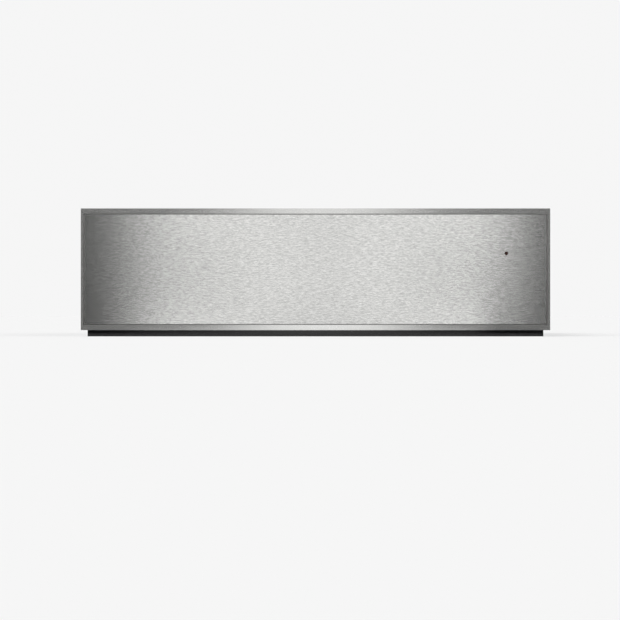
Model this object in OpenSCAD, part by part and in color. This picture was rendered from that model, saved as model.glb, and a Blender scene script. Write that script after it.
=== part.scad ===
// Built-in warming drawer for a 140 mm high kitchen niche.
// X runs across the front, Y runs from the front to the back, and Z is up.
// Modules draw in the niche frame, whose origin is the middle of the niche's lower front edge.
// at_niche() then moves each piece so that the origin lies under the middle of the appliance.

/* [Front panel] */
// How far the front panel stands out past the housing at each side
front_over = 18; // [14:0.5:26]
// Height of the front panel
front_h = 153; // [147:1:170]
// Thickness of the front panel
front_t = 19; // [17:0.5:24]
// Width of the surround's rim at the left and right
rim_side = 3; // [2.5:0.1:5]
// Width of the surround's rim at the top and bottom
rim_end = 6.6; // [4:0.1:9]
// Width of the shadow joint beside the face plate
joint_side = 2; // [1:0.1:3]
// Width of the shadow joint above and below the face plate
joint_end = 1.2; // [0.8:0.1:2]
// Depth of the shadow joint
joint_depth = 2; // [1:0.1:2.5]
// Depth of the rim before the surround thins to its skin
rim_depth = 4; // [3:0.5:6]
// Thickness of the surround's skin
skin = 1.5; // [1:0.1:2]
// Thickness of the face plate's sheet
plate_t = 1.5; // [1:0.1:2]
// Depth of the face plate with its turned edges
plate_lip = 7; // [5:0.5:9]
// How far the face plate lies behind the rim
plate_set_back = 0.3; // [0.2:0.1:1]
// Height of the front panel's lower edge above the shelf
front_drop = 8; // [6:0.5:10]

/* [Indicator lamp] */
// Distance of the lamp from the front panel's right end
lamp_edge = 55; // [40:1:95]
// Height of the lamp above the front panel's lower edge
lamp_z = 96.5; // [60:0.5:110]
// Radius of the lamp's hole
lamp_r = 2.25; // [1.5:0.05:3]

/* [Housing] */
// Width over the side walls
shell_w = 554; // [550:1:556]
// Height of the housing
shell_h = 138; // [136:1:144]
// Depth of the housing behind the niche's front edge
shell_d = 542; // [538:1:560]
// Thickness of the housing's sheet metal
sheet = 1; // [0.8:0.1:1.2]
// Width of the fixing flange at each side
flange_w = 11; // [9:0.5:13]
// Height of the sill
sill_h = 14; // [12:0.5:15]
// Radius of the fixing holes
fixing_r = 2.25; // [1.5:0.05:2.5]
// Distance between the upper and lower fixing holes
fixing_pitch = 70; // [50:1:90]

/* [Push latch] */
// How far the closed drawer can be pressed in
push_travel = 3; // [2:0.5:4]
// Thickness of the rubber buffers behind the front
buffer_t = 1.7; // [1:0.1:2.5]
// Radius of the latch body
latch_r = 5; // [4.5:0.25:5.5]
// Length of the latch body
latch_len = 75; // [65:1:80]
// How far the plunger stands out of its body
plunger_out = 10; // [8:0.5:14]
// Radius of the plunger
plunger_r = 3; // [2:0.1:3.5]

/* [Telescopic slides] */
// Length of each slide
slide_len = 450; // [440:1:460]
// Height of the slides' middle above the shelf
slide_z = 62; // [60:0.5:66]
// Thickness of the slides' steel
slide_steel = 1.2; // [1:0.05:1.3]
// Radius of the balls
ball_r = 1.9; // [1.7:0.05:1.95]
// Number of balls in each row
balls_per_row = 11; // [5:1:12]
// Distance between balls
ball_pitch = 20; // [18:0.5:20]

/* [Drawer] */
// Width of the tray's rim at each side of its opening
tray_rim = 28; // [27:0.5:42]
// Room behind the tray for the warm air unit
air_room = 84; // [80:1:104]
// Thickness of the insulation under the tray
insulation_t = 15; // [14:0.5:23]
// Thickness of the glass base
glass_t = 4; // [3:0.5:5]
// Radius of the tray's upright corners
corner_r = 12; // [6:1:20]

/* [Warm air] */
// Gap between the fan wheel and the heating rod
fan_gap = 3.25; // [2:0.25:6]
// Number of fan blades
blade_count = 18; // [8:1:24]
// Radius of the heating rod
rod_r = 3.25; // [2.5:0.05:3.5]
// Gap between the heating rod and the chamber
rod_gap = 1.25; // [0.75:0.25:3]

/* [Selector] */
// Distance of the selector from the console's right end
knob_edge = 71; // [35:1:110]
// Radius of the selector knob
knob_r = 11; // [8:0.5:12]
// Height of the selector knob
knob_h = 11; // [9:0.5:12]

/* [Cable arm] */
// Length of each arm between its pivots
arm_len = 420; // [400:1:425]
// Place of the arm's fixed pivot, from the middle
arm_x = -190; // [-200:1:-185]
// Angle of each folded arm to the front
arm_angle = 3; // [2.5:0.1:3.5]
// Width of each arm
arm_w = 16; // [14:1:20]
// Radius of the cables
cable_r = 2; // [1.5:0.1:2.1]

/* [Mains inlet] */
// Radius of the bore for the mains lead
inlet_r = 3.8; // [3:0.1:4.5]
// Height of the inlet above the shelf
inlet_z = 46; // [35:1:60]

/* [Hidden] */
$fn = 48;
eps = 0.01;              // how far a cut runs past a face
fit = 0.3;               // gap between pieces that move past each other
running = 0.2;           // radial clearance of a pin or shaft in its eye

// Front panel, whose back stands off the housing's flanges
front_w = shell_w + 2 * front_over;
back_t = 1;
front_gap = push_travel + buffer_t + fit;
panel_back = -(front_gap + sheet);
panel_front = panel_back - front_t;
panel_mid_z = front_drop + front_h / 2;
plate_w = front_w - 2 * (rim_side + joint_side);
plate_h = front_h - 2 * (rim_end + joint_end);
plate_fit = 0.1;                                 // gap between the face plate and the ledge round it
plate_face = panel_front + plate_set_back;
plate_back = plate_face + plate_t;
lip_end = plate_face + plate_lip;
core_back = panel_back - back_t;
buffer_r = 5;
buffer_pitch = 110;

// Indicator
lens_clear = 0.1;
board_w = 26;
board_h = 18;
board_t = 1.6;
board_depth = 8;                                 // from the plate's back to the board
lamp_x = front_w / 2 - lamp_edge;
lamp_height = front_drop + lamp_z;

// Housing
gland_head = 3;
niche_y = -(panel_front + shell_d + gland_head) / 2;
wall_x = shell_w / 2 - sheet;                    // inner face of a side wall
shell_x = shell_w / 2;                           // outer face of a side wall
cover_x = shell_x + sheet;                       // outer face of the top cover
roof_z = shell_h - sheet;                        // underside of the top cover
rear_y = shell_d - sheet;                        // inner face of the rear wall
foot_w = 12;
cover_lip = 12;
front_lip = 6;
sill_leg = 20;
bead_w = 14;
bead_high = 2;
flange_x = shell_x + flange_w;                   // outer edge of a fixing flange
fixing_x = shell_x + flange_w / 2;
fixing_mid_z = 75;
cover_screw_y = [60, shell_d / 2, shell_d - 60];
cover_screw_z = roof_z - cover_lip / 2;
cover_screw_r = 1.8;

// Slide sections, measured from the side wall (u) and from the slide's middle (v)
slide_t = 12.7;
race_r = ball_r + 0.15;
race_wall = 0.6;                                 // steel left behind a ball groove
groove = 1;                                      // depth of a ball groove
flat_v = race_r - groove;                        // from the balls' centres to the flat beside them
outer_u = 4.9;
outer_v = 19.2;
inner_u = outer_u + 4.3;
inner_v = outer_v - 2 * flat_v - slide_steel;
middle_u = 2 * slide_steel;
drawer_u = slide_t - slide_steel;
slide_y = 30;                                    // front end of the closed slides
cage_t = 0.4;
cage_gap = 0.4;                                  // from a cage to the rail behind it
cage_end = 7;                                    // from the last ball to the cage's end
cage_len = (balls_per_row - 1) * ball_pitch + 2 * cage_end;
cage_in = 115;                                   // from the slide's front end to the cages
cage_y = slide_y + cage_in;
ball_y = [for (i = [0:balls_per_row - 1]) cage_y + cage_end + i * ball_pitch];
slide_screw_in = 50;                             // from the slide's front end to its first screw
slide_screw_pitch = 170;
slide_screw_y = [for (i = [0:2]) slide_y + slide_screw_in + i * slide_screw_pitch];
screw_head_r = 3.2;
screw_r = 1.9;
screw_clear = 0.1;
cabinet_screw_len = slide_steel + sheet + 0.4;
stop_w = 16;                                     // width of the tab that stops the middle rail

// Drawer
plate_x = wall_x - slide_t;                      // outer face of a drawer side plate
drawer_sheet = 1;
drawer_screw_len = slide_steel + drawer_sheet + 1;
side_z = 17;                                     // underside of the side plates
side_front = 2;
side_back = shell_d - 22;
side_foot = 22;
side_head = 14;
under_z = side_z + drawer_sheet;                 // underside of the undertray
tray_top = roof_z - 8;
rim_z = tray_top - drawer_sheet;                 // underside of the tray's rim
pad_h = 2;
pad_r = 8;
pad_in = 24;                                     // from the tray's walls to a pad's middle
floor_z = under_z + drawer_sheet + insulation_t; // underside of the tray's floor
glass_z = floor_z + drawer_sheet + pad_h;        // underside of the glass
insulation_gap = 4;
under_gap = 2;
rim_x = plate_x - drawer_sheet - fit;            // edge of the tray's rim
rim_behind = 14;                                 // width of the rim behind the opening
inner_w = 2 * (rim_x - tray_rim);
tray_y = 36;                                     // outer face of the tray's front wall
tray_back = shell_d - air_room;
inner_d = tray_back - tray_y - 2 * drawer_sheet;
tray_mid_y = (tray_y + tray_back) / 2;
glass_gap = 3;

// Warm air unit
chamber_w = 400;
chamber_z = [under_z + 18, tray_top - 5];
air_z = (chamber_z[0] + chamber_z[1]) / 2;
air_opening_w = chamber_w - 24;
air_opening_z = [chamber_z[0] + 10, chamber_z[1] - 6];
ring_r = air_z - chamber_z[0] - drawer_sheet - rod_gap - rod_r;
fan_r = ring_r - rod_r - fan_gap;
grille_back = tray_back + drawer_sheet;
chamber_back = grille_back + 41;
fan_back = chamber_back - 6;
fan_depth = 22;
ring_y = grille_back + 17;
ring_gap = 50;                                   // angle left open between the ring's ends
sleeve_r = 4.2;
sleeve_out = 8;
shaft_r = 2;
bracket_t = 3;
bracket_foot = 5;
bar_h = 8;                                       // height of the bars that hold the bearings
core_t = 12;
core_front = chamber_back + 6;
core_end = core_front + core_t;
core_x = 27;
core_below = 44;                                 // from the shaft to the core's underside
core_above = 23;
core_z = [air_z - core_below, air_z + core_above];
leg_h = 10;                                      // height of the leg that the coil goes round
window_x = 15.5;
pole_below = 20;                                 // from the shaft to the window of the coil
window_top = air_z - pole_below;
rotor_r = 12.8;
rotor_gap = 0.4;
coil_wrap = 5;
coil_rise = 5.8;
boss_r = 7;
boss_out = 1;
thermostat_x = [-140, -110];
thermostat_r = 8;
thermostat_base = 6;
thermostat_cap = 4;
thermostat_tab = 6;
thermostat_above = 20;                           // from the shaft to the thermostats
thermostat_z = air_z + thermostat_above;

// Selector console
console_t = 2;
console_h = 30;
console_back = tray_y - 0.5;
console_x = plate_x - drawer_sheet - 1.3;
knob_x = console_x - knob_edge;
well_r = knob_r + 4;
well_floor = tray_top - knob_h - 2;              // top of the well's floor
knob_y = (panel_back + console_back) / 2;
switch_w = 26;
switch_h = 20;
switch_floor = 4;                                // solid floor under the spindle's bore
spindle_r = 3;
spindle_len = 24;
spindle_bottom = well_floor - console_t - switch_h + switch_floor + fit;
spindle_top = spindle_bottom + spindle_len;

// Cable arm
arm_y = shell_d - 12;                            // its fixed pivot
arm_sheet = 1;
pivot_r = 5;
pivot_head = 0.5;
bush_wall = 2.4;
rear_arm_z = sheet + 1.5;
rear_arm_top = rear_arm_z + 6.3;
front_arm_z = rear_arm_top + 0.6;
front_arm_top = front_arm_z + 6.4;
cable_bend = 3;
rear_cable_z = rear_arm_z + arm_sheet + 1.1 + cable_r;
front_cable_z = front_arm_z + arm_sheet + 1.2 + cable_r;
elbow_head_z = front_arm_z + arm_sheet + 0.2;
supply_end = 12.3;
bush_bore = cable_r + 0.6;
tip_r = bush_bore + 1.4;
tip_y = arm_y - 2 * arm_len * sin(arm_angle);
tip_head_z = under_z + drawer_sheet + fit;
slot_ahead = 10.5;                               // play of the arm's tip in the undertray's slot
slot_behind = 7.5;
slot_mid = tip_y + (slot_behind - slot_ahead) / 2;
slot_len = slot_ahead + slot_behind + 2 * tip_r;
slot_web = 2;                                    // least metal between the slot and the undertray's end
under_back = max(chamber_back, slot_mid + slot_len / 2 + fit + slot_web);
elbow = [arm_x + arm_len * cos(arm_angle), arm_y - arm_len * sin(arm_angle), 0];
clip_len = 8;

// Mains terminal, above the arm's fixed pivot
gland_x = arm_x + 45;
gland_r = 8;
gland_len = 11;
nut_t = 5;
terminal_z = 72;
terminal_h = 24;
terminal_w = 56;
terminal_d = 13;

// Push latch
latch_x = wall_x - 6.2;
latch_z = 108;
latch_y = shell_d - 12 - latch_len;
latch_bore = latch_len - 15;
plunger_tip = latch_y - plunger_out;
plunger_len = 55;
striker_t = 1.5;
striker_w = 10.5;

// ---------- helpers ----------

module at_niche() {
    translate([0, niche_y, 0]) children();
}

// Puts a piece made for the right-hand side on the side asked for: 1 is right, -1 is left.
module on_side(side) {
    mirror([side < 0 ? 1 : 0, 0, 0]) children();
}

// A block from its lowest corner to its highest.
module block(low, high) {
    translate(low) cube(high - low);
}

module rod_x(r, y, z, x0, x1) {
    translate([x0, y, z]) rotate([0, 90, 0]) cylinder(r = r, h = x1 - x0);
}

module rod_y(r, x, z, y0, y1) {
    translate([x, y0, z]) rotate([-90, 0, 0]) cylinder(r = r, h = y1 - y0);
}

module rod_z(r, x, y, z0, z1) {
    translate([x, y, z0]) cylinder(r = r, h = z1 - z0);
}

// Extrudes an outline of the XZ plane from y0 to y1.
module along_y(y0, y1) {
    translate([0, y1, 0]) rotate([90, 0, 0]) linear_extrude(y1 - y0) children();
}

// A flat outline with true round corners, centred on the origin.
module round_rect(w, d, r) {
    square([w - 2 * r, d], center = true);
    square([w, d - 2 * r], center = true);
    for (x = [-1, 1], y = [-1, 1])
        translate([x * (w / 2 - r), y * (d / 2 - r)]) circle(r);
}

// A flat slot along X with round ends, centred on the origin.
module slot_2d(len, r) {
    square([len - 2 * r, 2 * r], center = true);
    for (x = [-1, 1]) translate([x * (len / 2 - r), 0]) circle(r);
}

// Places its children with their X and Y axes along the two given unit vectors.
module on_axes(origin, ex, ey) {
    ez = cross(ex, ey);
    multmatrix([
        [ex[0], ey[0], ez[0], origin[0]],
        [ex[1], ey[1], ez[1], origin[1]],
        [ex[2], ey[2], ez[2], origin[2]],
        [0, 0, 0, 1]
    ]) children();
}

function unit(v) = v / norm(v);

// A cable along points whose stretches follow the axes, with a round bend at each corner.
module cable_run(points, r, bend) {
    last = len(points) - 1;
    for (i = [0:last - 1]) {
        dir = unit(points[i + 1] - points[i]);
        start = points[i] + (i > 0 ? bend : 0) * dir;
        end = points[i + 1] - (i < last - 1 ? bend : 0) * dir;
        side = [dir[1], dir[2], dir[0]];
        on_axes(start, side, cross(dir, side)) cylinder(r = r, h = norm(end - start));
    }
    for (i = [1:last - 1]) {
        inward = unit(points[i] - points[i - 1]);
        outward = unit(points[i + 1] - points[i]);
        on_axes(points[i] + bend * (outward - inward), -outward, inward)
            rotate_extrude(angle = 90) translate([bend, 0]) circle(r);
    }
}

// ---------- housing ----------

// A bead pressed up out of a sheet along Y, and the opening that it needs in the sheet.
module bead(len) {
    difference() {
        linear_extrude(bead_high + sheet) rotate(90) slot_2d(len, bead_w / 2);
        translate([0, 0, -eps]) linear_extrude(bead_high + eps)
            rotate(90) slot_2d(len - 2 * sheet, bead_w / 2 - sheet);
    }
}

module bead_opening(len) {
    translate([0, 0, -1]) linear_extrude(sheet + 2)
        rotate(90) slot_2d(len - 2 * sheet, bead_w / 2 - sheet);
}

module base_tray() {
    bead_len = shell_d - 120;
    bead_x = wall_x - 28;
    color("lightgray") at_niche() {
        difference() {
            block([-wall_x, 0, 0], [wall_x, rear_y, sheet]);
            for (x = [-bead_x, bead_x]) translate([x, shell_d / 2, 0]) bead_opening(bead_len);
        }
        for (x = [-bead_x, bead_x]) translate([x, shell_d / 2, 0]) bead(bead_len);
    }
}

module side_wall(side) {
    color("lightgray") at_niche() on_side(side) difference() {
        union() {
            block([wall_x, 0, 0], [shell_x, shell_d, roof_z]);
            block([wall_x - foot_w, sill_leg + 2, sheet], [wall_x, rear_y - sheet, 2 * sheet]);
            block([wall_x, -sheet, sill_h], [flange_x, 0, shell_h]);
        }
        for (y = slide_screw_y) rod_x(screw_r + screw_clear, y, slide_z, wall_x - 1, shell_x + 1);
        for (y = cover_screw_y)
            rod_x(cover_screw_r + screw_clear, y, cover_screw_z, wall_x - 1, shell_x + 1);
        for (z = [-1, 1])
            rod_y(fixing_r, fixing_x, fixing_mid_z + z * fixing_pitch / 2, -sheet - 1, 1);
    }
}

module left_side_wall() { side_wall(-1); }
module right_side_wall() { side_wall(1); }

module top_cover() {
    bead_pitch = 120;
    bead_x = [for (i = [-1.5:1.5]) i * bead_pitch];
    bead_len = shell_d - 160;
    color("lightgray") at_niche() {
        difference() {
            block([-cover_x, 0, roof_z], [cover_x, shell_d + sheet, shell_h]);
            for (x = bead_x) translate([x, shell_d / 2, roof_z]) bead_opening(bead_len);
        }
        for (x = bead_x) translate([x, shell_d / 2, shell_h]) mirror([0, 0, 1]) bead(bead_len);
        for (side = [-1, 1]) on_side(side) difference() {
            block([shell_x, 0, roof_z - cover_lip], [cover_x, shell_d + sheet, roof_z]);
            for (y = cover_screw_y)
                rod_x(cover_screw_r + screw_clear, y, cover_screw_z, shell_x - 1, cover_x + 1);
        }
        block([-wall_x, 0, roof_z - front_lip], [wall_x, sheet, roof_z]);
        block([-shell_x, shell_d, roof_z - cover_lip], [shell_x, shell_d + sheet, roof_z]);
    }
}

module rear_wall() {
    flange = 14;
    color("lightgray") at_niche() difference() {
        union() {
            block([-wall_x, rear_y, 0], [wall_x, shell_d, roof_z]);
            for (side = [-1, 1]) on_side(side)
                block([wall_x - sheet, rear_y - flange, 20], [wall_x, rear_y, roof_z - 4]);
        }
        for (x = [60, 150], i = [0:5])
            along_y(rear_y - 1, shell_d + 1) translate([x, 45 + i * 12]) slot_2d(60, 2.5);
        rod_y(gland_r + screw_clear, gland_x, inlet_z, rear_y - 1, shell_d + 1);
    }
}

module front_sill() {
    color("#2b2b2d") at_niche() {
        block([-flange_x, -sheet, 0], [flange_x, 0, sill_h]);
        block([-wall_x + foot_w, 0, sheet], [wall_x - foot_w, sill_leg, 2 * sheet]);
    }
}

module cable_gland() {
    color("#26262a") at_niche() difference() {
        union() {
            rod_y(gland_r, gland_x, inlet_z, rear_y - gland_len, shell_d);
            rod_y(gland_r + 3, gland_x, inlet_z, shell_d, shell_d + gland_head);
            translate([gland_x, rear_y - nut_t, inlet_z]) rotate([-90, 0, 0])
                cylinder(r = gland_r + 4.5, h = nut_t, $fn = 6);
        }
        rod_y(inlet_r, gland_x, inlet_z, rear_y - gland_len - 1, shell_d + gland_head + 1);
    }
}

module terminal_block() {
    screw_z = terminal_z + 15;
    front = rear_y - terminal_d;
    color("ivory") at_niche() difference() {
        block([arm_x - terminal_w / 2, front, terminal_z],
              [arm_x + terminal_w / 2, rear_y, terminal_z + terminal_h]);
        for (i = [-2:2]) rod_y(3, arm_x + i * 11, screw_z, front - 1, rear_y - 6);
        for (i = [-2:1])
            block([arm_x + i * 11 + 4.5, front - 1, terminal_z + 6],
                  [arm_x + i * 11 + 6.5, rear_y - 10, terminal_z + terminal_h + 1]);
    }
}

// The inner lead from the terminal block down to the arm's fixed pivot.
module supply_cable() {
    color("#8d3b2a") at_niche() rod_z(cable_r, arm_x, arm_y, supply_end, terminal_z);
}

// The rivet that the rear arm turns on, standing on the base tray.
module arm_base_pivot() {
    head_z = rear_arm_z + arm_sheet + fit;
    color("silver") at_niche() {
        rod_z(pivot_r + 4, arm_x, arm_y, sheet, rear_arm_z - fit);
        rod_z(pivot_r, arm_x, arm_y, rear_arm_z - fit, head_z);
        rod_z(pivot_r + 1.5, arm_x, arm_y, head_z, head_z + pivot_head);
    }
}

// A push latch: a round body with two feet on the side wall, bored for its plunger.
module latch_body(side) {
    foot = 12;
    color("#d8d8d4") at_niche() on_side(side) difference() {
        union() {
            rod_y(latch_r, latch_x, latch_z, latch_y, latch_y + latch_len);
            for (y = [latch_y + 6, latch_y + latch_len - 6 - foot]) {
                block([wall_x - 2.5, y, latch_z - 10], [wall_x, y + foot, latch_z + 10]);
                block([latch_x, y, latch_z - 3], [wall_x, y + foot, latch_z + 3]);
            }
        }
        rod_y(plunger_r + running, latch_x, latch_z, latch_y - 1, latch_y + latch_bore);
    }
}

module left_latch_body() { latch_body(-1); }
module right_latch_body() { latch_body(1); }

module latch_plunger(side) {
    chamfer = 1;
    color("#3c3c40") at_niche() on_side(side) {
        translate([latch_x, plunger_tip, latch_z]) rotate([-90, 0, 0]) {
            cylinder(r1 = plunger_r - chamfer, r2 = plunger_r, h = chamfer);
            translate([0, 0, chamfer]) cylinder(r = plunger_r, h = plunger_len - chamfer);
        }
    }
}

module left_latch_plunger() { latch_plunger(-1); }
module right_latch_plunger() { latch_plunger(1); }

module housing_screws() {
    head_t = 1.4;
    color("silver") at_niche() for (side = [-1, 1], y = cover_screw_y) on_side(side) {
        rod_x(cover_screw_r, y, cover_screw_z, wall_x - 2, cover_x);
        rod_x(3, y, cover_screw_z, cover_x, cover_x + head_t);
    }
}

// ---------- telescopic slides ----------

// Extrudes a section drawn in u and v along the slide, from y0 to y1.
module slide_extrude(y0, y1) {
    translate([wall_x, y0, slide_z]) rotate([90, 0, 180]) linear_extrude(y1 - y0) children();
}

// A section and its reflection below the slide's middle.
module above_and_below() {
    for (flip = [0, 1]) mirror([0, flip]) children();
}

// The steel that bulges round a ball groove, between two heights.
module race_bulge(u, v, from, to) {
    intersection() {
        translate([u, v]) circle(race_r + race_wall);
        translate([u - 5, from]) square([10, to - from]);
    }
}

module race(u, v) {
    translate([u, v]) circle(race_r);
}

module cabinet_rail_section() {
    leg_in = outer_v + flat_v;
    leg_out = leg_in + slide_steel;
    translate([0, -leg_out]) square([slide_steel, 2 * leg_out]);
    above_and_below() difference() {
        union() {
            translate([0, leg_in]) square([outer_u + 3.5, slide_steel]);
            race_bulge(outer_u, outer_v, leg_in, leg_out + 2);
        }
        race(outer_u, outer_v);
    }
}

module middle_rail_section() {
    leg_in = inner_v + flat_v;
    leg_out = outer_v - flat_v;
    above_and_below() difference() {
        union() {
            translate([middle_u, -slide_steel]) square([slide_steel, leg_out + slide_steel]);
            translate([middle_u, leg_in]) square([drawer_u - middle_u - 0.1, slide_steel]);
            race_bulge(outer_u, outer_v, leg_in - 2, leg_out);
            race_bulge(inner_u, inner_v, leg_in, leg_out + 2);
        }
        race(outer_u, outer_v);
        race(inner_u, inner_v);
    }
}

module drawer_rail_section() {
    leg_out = inner_v - flat_v;
    leg_in = leg_out - slide_steel;
    translate([drawer_u, -leg_out]) square([slide_steel, 2 * leg_out]);
    above_and_below() difference() {
        union() {
            translate([inner_u - 3.5, leg_in]) square([slide_t - inner_u + 3.5, slide_steel]);
            race_bulge(inner_u, inner_v, leg_in - 2, leg_out);
        }
        race(inner_u, inner_v);
    }
}

// A countersunk screw along +X, with its head's face at the origin.
module flush_screw(clear, len) {
    rotate([0, 90, 0]) {
        cylinder(r1 = screw_head_r + clear, r2 = screw_r + clear, h = slide_steel);
        cylinder(r = screw_r + clear, h = len);
    }
}

module cabinet_rail_screw_row(clear, len) {
    for (y = slide_screw_y) translate([wall_x - slide_steel, y, slide_z]) flush_screw(clear, len);
}

module drawer_rail_screw_row(clear, len) {
    for (y = slide_screw_y)
        translate([plate_x + slide_steel, y, slide_z]) mirror([1, 0, 0]) flush_screw(clear, len);
}

// The rail on the side wall, with a tab behind it that stops the middle rail.
module cabinet_rail(side) {
    stop_y = slide_y + slide_len + 0.6;
    color("#b9bcc0") at_niche() on_side(side) difference() {
        union() {
            slide_extrude(slide_y, slide_y + slide_len) cabinet_rail_section();
            slide_extrude(slide_y + slide_len - 1, stop_y + slide_steel)
                translate([0, -stop_w / 2]) square([slide_steel, stop_w]);
            slide_extrude(stop_y, stop_y + slide_steel)
                translate([0, -stop_w / 2]) square([middle_u + slide_steel, stop_w]);
        }
        cabinet_rail_screw_row(screw_clear, 4);
    }
}

module left_slide_cabinet_rail() { cabinet_rail(-1); }
module right_slide_cabinet_rail() { cabinet_rail(1); }

module cabinet_rail_screws() {
    color("silver") at_niche() for (side = [-1, 1]) on_side(side)
        cabinet_rail_screw_row(0, cabinet_screw_len);
}

module middle_rail(side) {
    color("#b9bcc0") at_niche() on_side(side)
        slide_extrude(slide_y, slide_y + slide_len) middle_rail_section();
}

module left_slide_middle_rail() { middle_rail(-1); }
module right_slide_middle_rail() { middle_rail(1); }

module drawer_rail(side) {
    color("#b9bcc0") at_niche() on_side(side) difference() {
        slide_extrude(slide_y, slide_y + slide_len) drawer_rail_section();
        drawer_rail_screw_row(screw_clear, 4);
    }
}

module left_slide_drawer_rail() { drawer_rail(-1); }
module right_slide_drawer_rail() { drawer_rail(1); }

module drawer_rail_screws() {
    color("silver") at_niche() for (side = [-1, 1]) on_side(side)
        drawer_rail_screw_row(0, drawer_screw_len);
}

// A ball cage: a bent strip with a row of balls in holes along both of its flanges.
module ball_cage(side, web_u, flange_u, u, v) {
    color("#c9a04f") at_niche() on_side(side) {
        difference() {
            slide_extrude(cage_y, cage_y + cage_len) {
                translate([web_u, -v - cage_t / 2]) square([cage_t, 2 * v + cage_t]);
                above_and_below()
                    translate([web_u, v - cage_t / 2]) square([flange_u - web_u, cage_t]);
            }
            for (y = ball_y) rod_z(ball_r + screw_clear, wall_x - u, y, slide_z - v - 1, slide_z - v + 1);
            for (y = ball_y) rod_z(ball_r + screw_clear, wall_x - u, y, slide_z + v - 1, slide_z + v + 1);
        }
        for (y = ball_y, up = [-1, 1])
            translate([wall_x - u, y, slide_z + up * v]) sphere(ball_r);
    }
}

// The outer cage's holes are closed, and the inner cage's are pockets that the balls snap into.
module outer_ball_cage(side) {
    ball_cage(side, slide_steel + cage_gap, outer_u + ball_r + 0.7, outer_u, outer_v);
}

module inner_ball_cage(side) {
    ball_cage(side, middle_u + slide_steel + cage_gap, inner_u + 1.2, inner_u, inner_v);
}

module left_outer_ball_cage() { outer_ball_cage(-1); }
module right_outer_ball_cage() { outer_ball_cage(1); }
module left_inner_ball_cage() { inner_ball_cage(-1); }
module right_inner_ball_cage() { inner_ball_cage(1); }

// ---------- cable arm ----------

// An arm along +X: a channel between two pivots, with three clips that hold its cable.
module arm_channel(z, top, cable_z) {
    flange_end = pivot_r + 9;
    translate([arm_len / 2, 0, z]) linear_extrude(arm_sheet) slot_2d(arm_len + arm_w, arm_w / 2);
    for (side = [0, 1]) mirror([0, side, 0])
        block([flange_end, arm_w / 2 - arm_sheet, z], [arm_len - flange_end, arm_w / 2, top]);
    for (x = [0.2, 0.5, 0.8]) difference() {
        block([x * arm_len - clip_len / 2, -cable_r - 1.2, z],
              [x * arm_len + clip_len / 2, cable_r + 1.2, cable_z + cable_r - 0.5]);
        rod_x(cable_r + 0.1, 0, cable_z, x * arm_len - clip_len, x * arm_len + clip_len);
        block([x * arm_len - clip_len, -cable_r + 0.4, cable_z],
              [x * arm_len + clip_len, cable_r - 0.4, top + 1]);
    }
}

// A hollow rivet at an arm's far end, open towards the arm so that the cable can enter it.
module cable_bush(r, z, cable_z, head_z) {
    difference() {
        union() {
            rod_z(r, arm_len, 0, z, head_z);
            rod_z(r + 1.6, arm_len, 0, head_z, head_z + pivot_head);
        }
        rod_z(bush_bore, arm_len, 0, cable_z - bush_bore, head_z + 1);
        block([arm_len - r - 1, -bush_bore, cable_z - bush_bore], [arm_len, bush_bore, cable_z + 2.4]);
    }
}

module at_rear_arm() {
    at_niche() translate([arm_x, arm_y, 0]) rotate([0, 0, -arm_angle]) children();
}

module at_front_arm() {
    at_niche() translate(elbow) rotate([0, 0, 180 + arm_angle]) children();
}

module rear_cable_arm() {
    color("#c4c7ca") at_rear_arm() {
        difference() {
            arm_channel(rear_arm_z, rear_arm_top, rear_cable_z);
            rod_z(pivot_r + running, 0, 0, rear_arm_z - 1, rear_arm_top);
        }
        cable_bush(pivot_r, rear_arm_z, rear_cable_z, elbow_head_z);
    }
}

module front_cable_arm() {
    color("#c4c7ca") at_front_arm() {
        difference() {
            arm_channel(front_arm_z, front_arm_top, front_cable_z);
            rod_z(pivot_r + running, 0, 0, front_arm_z - 1, front_arm_top);
        }
        cable_bush(tip_r, front_arm_z, front_cable_z, tip_head_z);
    }
}

module rear_arm_cable() {
    color("#8d3b2a") at_rear_arm() cable_run([
        [0, 0, supply_end - fit], [0, 0, rear_cable_z],
        [arm_len, 0, rear_cable_z], [arm_len, 0, rear_cable_z + cable_bend + eps]
    ], cable_r, cable_bend);
}

module front_arm_cable() {
    start_z = rear_cable_z + cable_bend + fit;
    end_z = tip_head_z + pivot_head;
    color("#8d3b2a") at_front_arm() cable_run([
        [0, 0, start_z], [0, 0, front_cable_z],
        [arm_len, 0, front_cable_z], [arm_len, 0, end_z]
    ], cable_r, cable_bend);
}

// ---------- front panel ----------

module at_panel() {
    at_niche() translate([0, 0, panel_mid_z]) children();
}

// A plate centred on the panel's middle, from y0 to y1.
module panel_plate(w, h, y0, y1) {
    block([-w / 2, y0, -h / 2], [w / 2, y1, h / 2]);
}

// Inside its rim the surround steps back to a ledge, which is the floor of the shadow joint.
module front_surround() {
    color("#c9cacb") at_panel() difference() {
        panel_plate(front_w, front_h, panel_front, panel_back);
        panel_plate(front_w - 2 * rim_side, front_h - 2 * rim_end, panel_front - 1, panel_front + joint_depth);
        panel_plate(plate_w + 2 * plate_fit, plate_h + 2 * plate_fit, panel_front - 1, panel_back + 1);
        panel_plate(front_w - 2 * skin, front_h - 2 * skin, panel_front + rim_depth, panel_back + 1);
    }
}

module face_plate() {
    color("#d2d1ce") at_panel() difference() {
        panel_plate(plate_w, plate_h, plate_face, lip_end);
        panel_plate(plate_w - 2 * plate_t, plate_h - 2 * plate_t, plate_back, lip_end + 1);
        rod_y(lamp_r, lamp_x, lamp_height - panel_mid_z, plate_face - 1, plate_back + 1);
    }
}

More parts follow.
